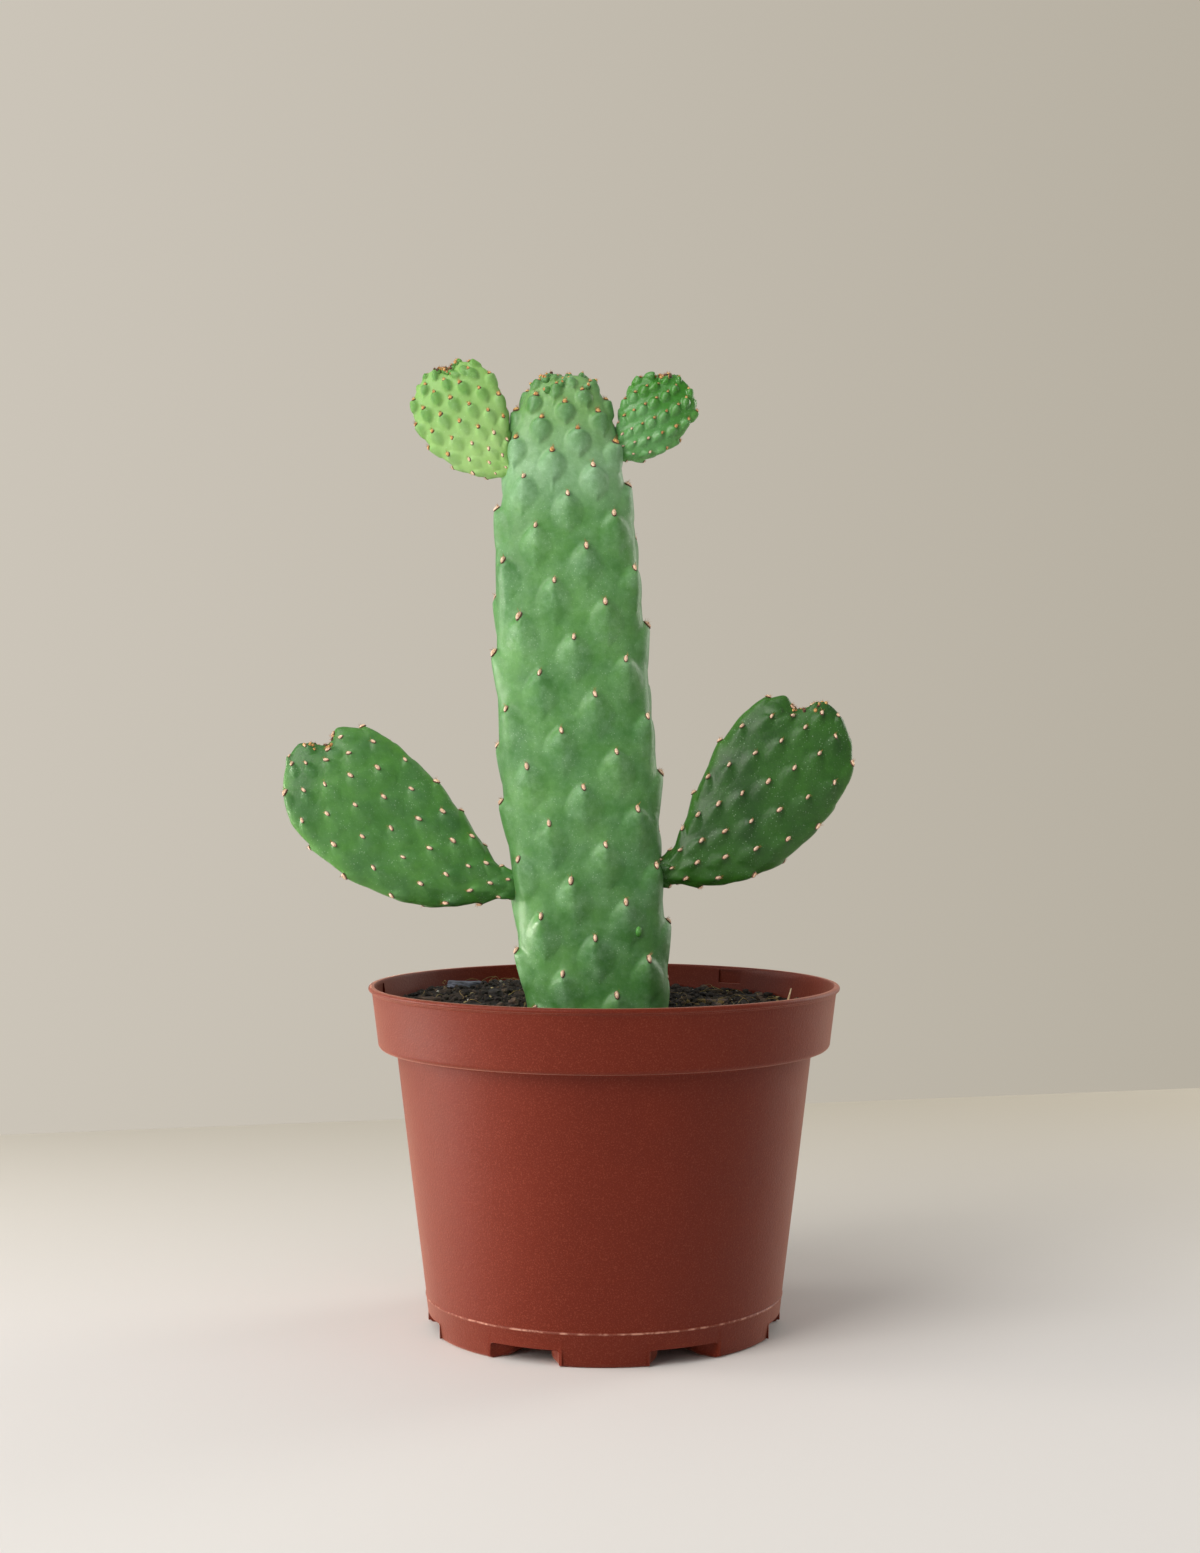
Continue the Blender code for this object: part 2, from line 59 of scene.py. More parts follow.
pot_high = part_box("pot")[1]
LIP_HEIGHT = pot_high[2]
LIP_RADIUS = pot_high[0]
WALL = 0.0010
LIP_BEAD = 0.0008
DRAFT = math.tan(math.radians(7.0))
COLLAR_FOOT = LIP_HEIGHT - 0.0196
COLLAR_CORNER = 0.0016
SHOULDER = 0.0054
FLASH_HEIGHT = 0.0103
FLOOR = 0.0012
CHANNELS = 7
CHANNEL_HEIGHT = 0.0050
DRAIN_RADIUS = 0.0036
RECESS_BEARINGS = (23, 143, 263)
RECESS_HALF_WIDTH = 0.0046


def linear(colour):
    """The linear RGBA of an sRGB hex colour."""
    parts = [int(colour[i : i + 2], 16) / 255 for i in (1, 3, 5)]
    return (*(c / 12.92 if c <= 0.04045 else ((c + 0.055) / 1.055) ** 2.4 for c in parts), 1)


def plug(tree, node, values=(), links=()):
    """Sets some of a node's sockets, and links others to the sockets that feed them."""
    for socket, value in dict(values).items():
        node.inputs[socket].default_value = value
    for socket, source in dict(links).items():
        tree.links.new(source, node.inputs[socket])
    return node


def add(tree, kind, settings=(), values=(), links=()):
    """A new shader node of the kind, with its settings, values and links. Sockets are called by
    name or number: a Map Range's 1 to 4 are its range in and its range out, and a colour Mix's
    6 and 7 are its two colours."""
    node = tree.nodes.new("ShaderNode" + kind)
    for name, value in dict(settings).items():
        setattr(node, name, value)
    return plug(tree, node, values, links)


def two_tone(tree, share, first, second, low=0.0, high=1.0):
    """A colour that is the first where the share is under low, the second where it is over high,
    and blended between."""
    blend = add(tree, "MapRange", values={1: low, 2: high}, links={0: share})
    ends = {6: linear(first), 7: linear(second)}
    return add(tree, "Mix", {"data_type": "RGBA"}, ends, {0: blend.outputs[0]}).outputs[2]


def new_material(name):
    """An empty Principled material: the material, its node tree and its shader."""
    made = bpy.data.materials.new(name)
    made.use_nodes = True
    return made, made.node_tree, made.node_tree.nodes["Principled BSDF"]


def finish(name, shape, material, replaced=(), smooth_angle=None):
    """Makes the piece from a bmesh, and puts it in place of the CAD nodes that it replaces."""
    mesh = bpy.data.meshes.new(name)
    shape.to_mesh(mesh)
    shape.free()
    mesh.materials.append(material)
    piece = bpy.data.objects.new(name, mesh)
    bpy.context.scene.collection.objects.link(piece)
    if smooth_angle is not None:
        mesh.shade_smooth()
        if smooth_angle < 180:
            mesh.set_sharp_from_angle(angle=math.radians(smooth_angle))
    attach(piece, "root")
    if replaced:
        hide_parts(*replaced)
    return piece


def spun(profile, steps):
    """A bmesh of the (radius, height) profile turned about Z."""
    shape = bmesh.new()
    points = [shape.verts.new((radius, 0, height)) for radius, height in profile]
    for first, second in zip(points, points[1:]):
        shape.edges.new((first, second))
    bmesh.ops.spin(
        shape, geom=shape.verts[:] + shape.edges[:], cent=(0, 0, 0), axis=(0, 0, 1),
        angle=math.tau, steps=steps, use_merge=True,
    )
    bmesh.ops.remove_doubles(shape, verts=shape.verts, dist=1e-6)
    bmesh.ops.recalc_face_normals(shape, faces=shape.faces)
    return shape


def arc(centre_r, centre_z, radius, start_deg, end_deg, count):
    """Profile points round an arc, where 0 degrees points outwards and 90 up."""
    turns = [math.radians(start_deg + (end_deg - start_deg) * i / (count - 1)) for i in range(count)]
    return [(centre_r + radius * math.cos(t), centre_z + radius * math.sin(t)) for t in turns]


def pot_radius(height):
    """Outer radius of the pot's wall, or of its collar above the shoulder."""
    radius = LIP_RADIUS - 0.0009 - (LIP_HEIGHT - height) * DRAFT
    return radius if height > COLLAR_FOOT else radius - SHOULDER


def point_outwards(shape):
    """Turns the faces of a closed bmesh outwards."""
    shape.normal_update()
    bmesh.ops.recalc_face_normals(shape, faces=shape.faces)
    return shape


def combine(piece, shape, operation):
    """Joins a closed bmesh to the piece (UNION) or cuts it away (DIFFERENCE), for good."""
    mesh = bpy.data.meshes.new("tool")
    shape.to_mesh(mesh)
    shape.free()
    tool = bpy.data.objects.new("tool", mesh)
    bpy.context.scene.collection.objects.link(tool)
    step = piece.modifiers.new("Combine", "BOOLEAN")
    step.operation = operation
    step.object = tool
    graph = bpy.context.evaluated_depsgraph_get()
    result = bpy.data.meshes.new_from_object(piece.evaluated_get(graph))
    result.name = piece.name
    piece.modifiers.remove(step)
    piece.data = result
    bpy.data.objects.remove(tool)


def lofted(levels):
    """A bmesh that climbs through (height, outline) levels with equally many points."""
    shape = bmesh.new()
    height, outline = levels[0]
    top = shape.faces.new([shape.verts.new((x, y, height)) for x, y in outline])
    for number, (height, outline) in enumerate(levels[1:]):
        under = top
        made = bmesh.ops.extrude_face_region(shape, geom=[top])["geom"]
        top = next(item for item in made if isinstance(item, bmesh.types.BMFace))
        if number and under.is_valid:
            bmesh.ops.delete(shape, geom=[under], context="FACES_ONLY")
        for vertex, (x, y) in zip(top.verts, outline):
            vertex.co = (x, y, height)
    return shape


def around_pot(shape, bearing_deg):
    """Turns a shape on +X to a bearing from the front of the pot."""
    turn = Matrix.Rotation(math.radians(bearing_deg - 90), 3, "Z")
    bmesh.ops.rotate(shape, verts=shape.verts, cent=(0, 0, 0), matrix=turn)
    return shape


def pattern(shape):
    """A small mesh to be stamped many times, and its coordinates."""
    mesh = bpy.data.meshes.new("pattern")
    shape.to_mesh(mesh)
    shape.free()
    return mesh, np.array([vertex.co for vertex in mesh.vertices])


def stamp(whole, kind, place):
    """Adds a copy of the pattern to the bmesh, placed by the matrix."""
    mesh, coordinates = kind
    moved = coordinates @ np.array(place.to_3x3()).T + np.array(place.translation)
    mesh.vertices.foreach_set("co", moved.astype(np.float32).ravel())
    whole.from_mesh(mesh)


def pot_profile():
    """Half the pot's section: along the floor, up the inside, over the lip, down the outside."""
    ledge = COLLAR_FOOT + WALL
    bead_r, bead_z = LIP_RADIUS - LIP_BEAD, LIP_HEIGHT - LIP_BEAD
    inner_top = pot_radius(bead_z) - WALL
    corner_z = COLLAR_FOOT + COLLAR_CORNER
    corner_r = pot_radius(corner_z) - COLLAR_CORNER
    inner_ledge = pot_radius(ledge) - WALL
    wall_top = pot_radius(COLLAR_FOOT) - 0.0003
    flash = pot_radius(FLASH_HEIGHT)
    return [
        (0, FLOOR),
        (pot_radius(FLOOR) - WALL - 0.0016, FLOOR),
        *arc(pot_radius(FLOOR) - WALL - 0.0014, FLOOR + 0.0014, 0.0014, -90, 0, 5)[1:],
        (pot_radius(0.05) - WALL, 0.05),
        (pot_radius(COLLAR_FOOT) - WALL, COLLAR_FOOT),
        (pot_radius(COLLAR_FOOT) - WALL, ledge - 0.0004),
        (pot_radius(COLLAR_FOOT) - WALL + 0.0004, ledge),
        (inner_ledge - 0.0016, ledge),
        *arc(inner_ledge - 0.0012, ledge + 0.0012, 0.0012, -90, 0, 5)[1:],
        (inner_top, LIP_HEIGHT - 0.0012),
        *arc(inner_top + 0.0005, LIP_HEIGHT - 0.0005, 0.0005, 180, 90, 4),
        *arc(bead_r, bead_z, LIP_BEAD, 80, -80, 9),
        *arc(pot_radius(bead_z - 0.0016) + 0.0007, bead_z - 0.0017, 0.0007, 110, 180, 4),
        (pot_radius(corner_z + 0.006), corner_z + 0.006),
        *arc(corner_r, corner_z, COLLAR_CORNER, 0, -90, 7),
        (wall_top + 0.0014, COLLAR_FOOT),
        *arc(wall_top + 0.0014, COLLAR_FOOT - 0.0014, 0.0014, 90, 180, 6)[1:],
        (pot_radius(0.050), 0.050),
        (flash + 0.00002, FLASH_HEIGHT + 0.0004),
        (flash + 0.00022, FLASH_HEIGHT + 0.0001),
        (flash + 0.00022, FLASH_HEIGHT - 0.0001),
        (flash + 0.00004, FLASH_HEIGHT - 0.0004),
        (pot_radius(0.0012), 0.0012),
        *arc(pot_radius(0) - 0.0010, 0.0009, 0.0009, 0, -90, 5)[1:],
        (0, 0),
    ]


def both_sides(half, widening):
    """An outline symmetric about X from its half. Each point widens by its share of the
    widening, and by all of it where the outline narrows."""
    side = [(x, y + widening * max(share, float(widening < 0))) for x, y, share in half]
    return [(x, -y) for x, y in side] + [(x, y) for x, y in reversed(side)]


def tunnel_cutter(bearing_deg):
    """A drainage tunnel: its mouth flares in the wall, and the walls' feet are rounded inside."""
    foot = pot_radius(0)
    mouth, throat, throat_r, end_r = 0.0116, 0.0060, foot - 0.0054, foot - 0.0200
    half = [(foot + 0.004, mouth + 0.0016, 0), (foot - 0.0003, mouth, 0)]
    half += [(foot - 0.0018, mouth - 0.0005, 0.1), (foot - 0.0034, mouth - 0.0022, 0.35)]
    half += [(throat_r + 0.0004, throat + 0.0010, 1), (throat_r - 0.0010, throat + 0.0001, 1)]
    half += [(end_r + 0.0035, throat - 0.0004, 1)]
    half += [
        (end_r + 0.0035 - 0.0035 * math.sin(t), throat - 0.0039 + 0.0035 * math.cos(t), 1)
        for t in (0.4, 0.8, 1.2, math.pi / 2)
    ]
    widths = (
        (-0.002, 0.0026), (0.0, 0.0026), (0.0003, 0.0017), (0.0008, 0.0009), (0.0014, 0.0004),
        (0.0022, 0.0), (CHANNEL_HEIGHT - 0.0008, 0.0), (CHANNEL_HEIGHT - 0.0004, -0.0002),
        (CHANNEL_HEIGHT, -0.0007),
    )
    levels = [(height, both_sides(half, wider)) for height, wider in widths]
    return around_pot(lofted(levels), bearing_deg)


def tunnel_block(bearing_deg):
    """The solid round a tunnel, one wall thicker than the tunnel each way."""
    foot = pot_radius(0)
    outer, inner, end_r = 0.0124, 0.0076, foot - 0.0212
    half = [(foot - 0.0006, outer, 1), (foot - 0.0040, inner + 0.0030, 1)]
    half += [(foot - 0.0056, inner + 0.0006, 1), (end_r + 0.004, inner, 1)]
    half += [(end_r + 0.0012, inner - 0.0014, 1), (end_r, inner - 0.004, 1)]
    widths = (
        (0.0006, 0.0), (CHANNEL_HEIGHT, 0.0), (CHANNEL_HEIGHT + 0.0007, -0.0003),
        (CHANNEL_HEIGHT + WALL, -0.0009),
    )
    levels = [(height, both_sides(half, wider)) for height, wider in widths]
    return around_pot(lofted(levels), bearing_deg)


def moulded_polypropylene():
    """Filled polypropylene with a matt spark-eroded skin: dull, a little mottled, chalky scuffs."""
    material, tree, shader = new_material("moulded_polypropylene")
    place = add(tree, "TexCoord").outputs["Object"]
    mottle = add(tree, "TexNoise", values={"Scale": 60, "Detail": 6, "Roughness": 0.65},
                 links={"Vector": place})
    grain = add(tree, "TexNoise", values={"Scale": 1500, "Detail": 2}, links={"Vector": place})
    body = two_tone(tree, mottle.outputs["Fac"], "#611b08", "#6b210d")
    # filler specks, a tenth of a millimetre in the real plastic and drawn at three times that
    specks = add(tree, "TexNoise", values={"Scale": 2600, "Detail": 1}, links={"Vector": place})
    speck_spots = add(tree, "MapRange", values={1: 0.52, 2: 0.72, 3: 0.0, 4: 0.35},
                      links={0: specks.outputs["Fac"]})
    speckled = add(tree, "Mix", {"data_type": "RGBA"}, {7: linear("#954a35")},
                   {0: speck_spots.outputs[0], 6: body})
    # the flash is scuffed pale in patches
    parts = add(tree, "SeparateXYZ", links={0: place})
    level = add(tree, "Math", {"operation": "SUBTRACT"}, {1: FLASH_HEIGHT}, {0: parts.outputs["Z"]})
    near = add(tree, "Math", {"operation": "ABSOLUTE"}, links={0: level.outputs[0]})
    line = add(tree, "MapRange", values={1: 0.00012, 2: 0.0004, 3: 1.0, 4: 0.0},
               links={0: near.outputs[0]})
    patches = add(tree, "TexNoise", values={"Scale": 420, "Detail": 3}, links={"Vector": place})
    patch = add(tree, "MapRange", values={1: 0.46, 2: 0.62, 3: 0.1, 4: 0.75},
                links={0: patches.outputs["Fac"]})
    scuffed = add(tree, "Math", {"operation": "MULTIPLY"},
                  links={0: line.outputs[0], 1: patch.outputs[0]})
    colour = add(tree, "Mix", {"data_type": "RGBA"}, {7: linear("#cf9883")},
                 {0: scuffed.outputs[0], 6: speckled.outputs[2]})
    rough = add(tree, "MapRange", values={1: 0.3, 2: 0.7, 3: 0.42, 4: 0.52},
                links={0: mottle.outputs["Fac"]})
    texture = add(tree, "Bump", values={"Strength": 0.35, "Distance": 0.0002},
                  links={"Height": grain.outputs["Fac"]})
    waves = add(tree, "Bump", values={"Strength": 0.25, "Distance": 0.0006},
                links={"Height": mottle.outputs["Fac"], "Normal": texture.outputs[0]})
    feel = {"IOR": 1.49, "Specular IOR Level": 0.2}
    chalk = {"Sheen Weight": 0.5, "Sheen Roughness": 0.4, "Sheen Tint": linear("#ffbfa6")}
    plug(tree, shader, {**feel, **chalk}, {
        "Base Color": colour.outputs[2], "Roughness": rough.outputs[0], "Normal": waves.outputs[0],
    })
    return material


def drain_cutter(bearing_deg):
    """A round drain hole through the roof of a tunnel."""
    drain = bmesh.new()
    bmesh.ops.create_cone(
        drain, cap_ends=True, segments=24, radius1=DRAIN_RADIUS, radius2=DRAIN_RADIUS, depth=0.004,
        matrix=Matrix.Translation((pot_radius(0) - 0.0095, 0, CHANNEL_HEIGHT)),
    )
    return around_pot(drain, bearing_deg)


def recess_cutter(bearing_deg):
    """A shallow stacking recess inside the collar, under the lip."""
    inner = pot_radius(LIP_HEIGHT - 0.003) - WALL
    outline = [(inner - 0.004, -RECESS_HALF_WIDTH)]
    for i in range(9):
        y = RECESS_HALF_WIDTH * (i / 4 - 1)
        outline.append((math.sqrt((inner + 0.0006) ** 2 - y * y), y))
    outline.append((inner - 0.004, RECESS_HALF_WIDTH))
    levels = [(LIP_HEIGHT - 0.0057, outline), (LIP_HEIGHT - 0.0012, outline)]
    return around_pot(lofted(levels), bearing_deg)


def make_pot():
    """The moulding: spun, then joined to its tunnels' blocks, then cut by what is hollow."""
    shape = spun(pot_profile(), 216)
    pot = finish("nursery_pot", shape, moulded_polypropylene(), ["pot"])
    bearings = [(i + 0.5) * 360 / CHANNELS for i in range(CHANNELS)]
    blocks = bmesh.new()
    for bearing in bearings:
        stamp(blocks, pattern(point_outwards(tunnel_block(bearing))), Matrix.Identity(4))
    combine(pot, blocks, "UNION")
    cutters = [tunnel_cutter(bearing) for bearing in bearings]
    cutters += [drain_cutter(bearing) for bearing in bearings]
    cutters += [recess_cutter(bearing) for bearing in RECESS_BEARINGS]
    for cutter in cutters:
        combine(pot, point_outwards(cutter), "DIFFERENCE")
    pot.data.shade_smooth()
    pot.data.set_sharp_from_angle(angle=math.radians(30))


make_pot()


# ---- main stem
# The oldest pad: a flattened, club-shaped stem that stands a thumb's length down in the mix.
# Its areoles follow one another by the golden angle, each on the upper end of a drop-shaped
# swelling. Its skin is bluish with wax, and its crown is still growing.

MIX_LEVEL = 0.100
STEM_HEIGHT = 0.2035
STEM_BURIED = 0.024
STEM_HALF_WIDTH = 0.0249
STEM_HALF_THICKNESS = 0.0110
STEM_FOOT_X = -0.002
STEM_LEAN = 0.011
TIP_DIP = 0.0016


def through(stations, at, column):
    """A smooth curve through one column of the stations, read where the first column is at."""
    rows = np.array(stations, float)
    xs, ys = rows[:, 0], rows[:, column]
    last = len(xs) - 1
    before = np.maximum(np.arange(last + 1) - 1, 0)
    after = np.minimum(np.arange(last + 1) + 1, last)
    slopes = (ys[after] - ys[before]) / (xs[after] - xs[before])
    at = np.clip(at, xs[0], xs[-1])
    i = np.clip(np.searchsorted(xs, at, side="right") - 1, 0, last - 1)
    span = xs[i + 1] - xs[i]
    t = (at - xs[i]) / span
    return (
        (2 * t**3 - 3 * t**2 + 1) * ys[i]
        + (t**3 - 2 * t**2 + t) * span * slopes[i]
        + (3 * t**2 - 2 * t**3) * ys[i + 1]
        + (t**3 - t**2) * span * slopes[i + 1]
    )


def round_off(distance, cap, power=2.0):
    """From 0 at an end to 1 at the cap's length from it: a quarter circle, or squarer."""
    return np.maximum(0, 1 - (1 - np.clip(distance / cap, 0, 1)) ** power) ** (1 / power)


def smooth_step(low, high, value):
    """From 0 where the value is low to 1 where it is high, easing at both ends."""
    t = np.clip((value - low) / (high - low), 0, 1)
    return t * t * (3 - 2 * t)


# height above the mix, width and thickness, each as a share of the greatest
STEM_OUTLINE = (
    (-0.118, 0.60, 0.66),
    (0.00, 0.90, 0.92),
    (0.20, 0.955, 0.98),
    (0.40, 1.00, 1.00),
    (0.53, 0.96, 0.98),
    (0.68, 0.92, 0.94),
    (0.76, 0.875, 0.88),
    (0.83, 0.76, 0.80),
    (0.90, 0.67, 0.72),
    (0.95, 0.55, 0.62),
    (1.00, 0.42, 0.50),
)


def stem_centre(height):
    """Where the stem's middle is along X, at a share of its height: it leans to the left."""
    return STEM_FOOT_X - STEM_LEAN * np.sin(np.pi / 2 * np.clip(height, 0, 1))


def stem_at(around, share):
    """The stem's surface without swellings. share runs from its buried foot to its tip."""
    foot = -STEM_BURIED / STEM_HEIGHT
    height = foot + (1 - foot) * share
    rounding = round_off(1 - height, 0.075, 2.6) * round_off(height - foot, 0.05)
    width = STEM_HALF_WIDTH * through(STEM_OUTLINE, height, 1) * rounding
    thickness = STEM_HALF_THICKNESS * through(STEM_OUTLINE, height, 2) * rounding
    cosine, sine = np.cos(around), np.sin(around)
    sunk = TIP_DIP * np.exp(-(((width * cosine) / 0.006) ** 2)) * smooth_step(0.97, 1, height)
    x = stem_centre(height) + width * np.sign(cosine) * np.abs(cosine) ** 0.86
    y = -thickness * np.sign(sine) * np.abs(sine) ** 0.86
    return np.stack([x, y, MIX_LEVEL + height * STEM_HEIGHT - sunk], -1)


def areole_sites(at, length, first, turn, start, step, tip_step, slows_at, slows_over):
    """Places and directions of the areoles, which crowd together towards the growing tip. first
    and turn are in rounds of the pad, and the steps are in shares of its length."""
    shares = [start]
    while shares[-1] < 0.999 and len(shares) < 400:
        old = 1 / (1 + math.exp((shares[-1] - slows_at) / slows_over))
        shares.append(shares[-1] + tip_step + (step - tip_step) * old)
    numbers = np.arange(len(shares))
    shares = np.array(shares)
    kept = (shares > 0.01) & (shares < 0.996)
    numbers, shares = numbers[kept], shares[kept]
    rounds = np.linspace(0, math.tau, 129)
    ring = at(np.tile(rounds, (len(shares), 1)), np.tile(shares[:, None], (1, 129)))
    lengths = np.linalg.norm(np.diff(ring, axis=1), axis=2)
    travelled = np.concatenate([np.zeros((len(shares), 1)), np.cumsum(lengths, 1)], 1)
    bearing = (first + turn * numbers) % 1
    around = np.array([np.interp(b * t[-1], t, rounds) for b, t in zip(bearing, travelled)])
    place = at(around, shares)
    sideways = at(around + 0.01, shares) - at(around - 0.01, shares)
    downwards = at(around, shares - 0.004) - at(around, np.minimum(shares + 0.004, 1))
    outwards = np.cross(sideways, downwards)
    outwards /= np.linalg.norm(outwards, axis=1)[:, None]
    step_length = np.gradient(shares) * length
    spacing = np.sqrt(np.maximum(step_length * travelled[:, -1], 4e-6))
    downwards /= np.linalg.norm(downwards, axis=1)[:, None]
    facing = np.sign(((place - ring.mean(1)) * outwards).sum(1))
    outwards *= np.where(facing == 0, 1, facing)[:, None]
    return {
        "place": place,
        "down": downwards,
        "out": outwards,
        "across": np.cross(downwards, outwards),
        "share": shares,
        "spacing": spacing,
    }


def paint(piece, label, values):
    """Keeps one value for each vertex of the piece, for its skin's colours to follow."""
    layer = piece.data.attributes.new(label, "FLOAT", "POINT")
    layer.data.foreach_set("value", np.asarray(values, np.float32))


def grown(name, at, sites, swelling, segments, rings, material, slot, replaced, youth):
    """A pad: a UV sphere carried onto the pad's surface, then swollen below each areole. A
    swelling is a drop, narrow at its areole, widest half way down and fading at its foot. On
    young skin it is shorter, rounder and steeper."""
    shape = bmesh.new()
    bmesh.ops.create_uvsphere(shape, u_segments=segments, v_segments=rings, radius=1)
    co = np.array([v.co for v in shape.verts])
    polar = np.arccos(np.clip(co[:, 2], -1, 1)) / np.pi
    share = 1 - (0.5 * polar + 0.5 * (1 - co[:, 2]) / 2)
    around = np.arctan2(co[:, 1], co[:, 0])
    # the segments are drawn together on the broad faces and spread out on the narrow edges
    around = around + 0.17 * np.sin(2 * around)
    placed = at(around, share)
    for vertex, point in zip(shape.verts, placed):
        vertex.co = point
    shape.normal_update()
    bmesh.ops.recalc_face_normals(shape, faces=shape.faces)
    shape.normal_update()
    outward = np.array([v.normal for v in shape.verts])
    raised = np.zeros(len(placed))
    for i in range(len(sites["share"])):
        spacing = sites["spacing"][i]
        offset = placed - sites["place"][i]
        near = (np.abs(offset).max(1) < 1.3 * spacing) & (outward @ sites["out"][i] > -0.1)
        local = offset[near]
        young = youth(sites["share"][i])
        long = spacing * (0.98 - 0.12 * young)
        wide = spacing * (0.36 + 0.03 * young) * (1 + 0.10 * math.sin(i * 2.4))
        across = local @ sites["across"][i]
        down = local @ sites["down"][i] / long + 0.11
        open_at = 0.24 + 0.20 * young
        swell = np.sin(np.pi * np.clip(down, 0, 1) ** (0.95 - 0.2 * young))
        spread = wide * (open_at + (1 - open_at) * swell)
        spread = np.maximum(spread * smooth_step(1.06, 0.72, down), 1e-5)
        inside = np.clip(1 - np.abs(across / spread) ** (1.35 + 0.65 * young), 0, 1)
        crest = smooth_step(-0.06, 0.16, down) * np.clip(1 - (0.95 - 0.4 * young) * down, 0, 1)
        height = swelling(young, spacing) * inside ** (1.1 - 0.35 * young) * crest
        raised[near] = np.maximum(raised[near], height)
    top = max(raised.max(), 1e-6)
    lumps = np.array([noise.noise(Vector(p) * 60) for p in placed]) * 0.00035
    moved = placed + outward * (raised + lumps)[:, None]
    for vertex, point in zip(shape.verts, moved):
        vertex.co = point
    bmesh.ops.smooth_vert(
        shape, verts=shape.verts, factor=0.4, use_axis_x=True, use_axis_y=True, use_axis_z=True
    )
    piece = finish(name, shape, material, replaced, smooth_angle=180)
    paint(piece, "ridge", raised / top)
    paint(piece, "edge", np.abs(np.cos(around)) ** 8)
    paint(piece, "youth", youth(share))
    return piece


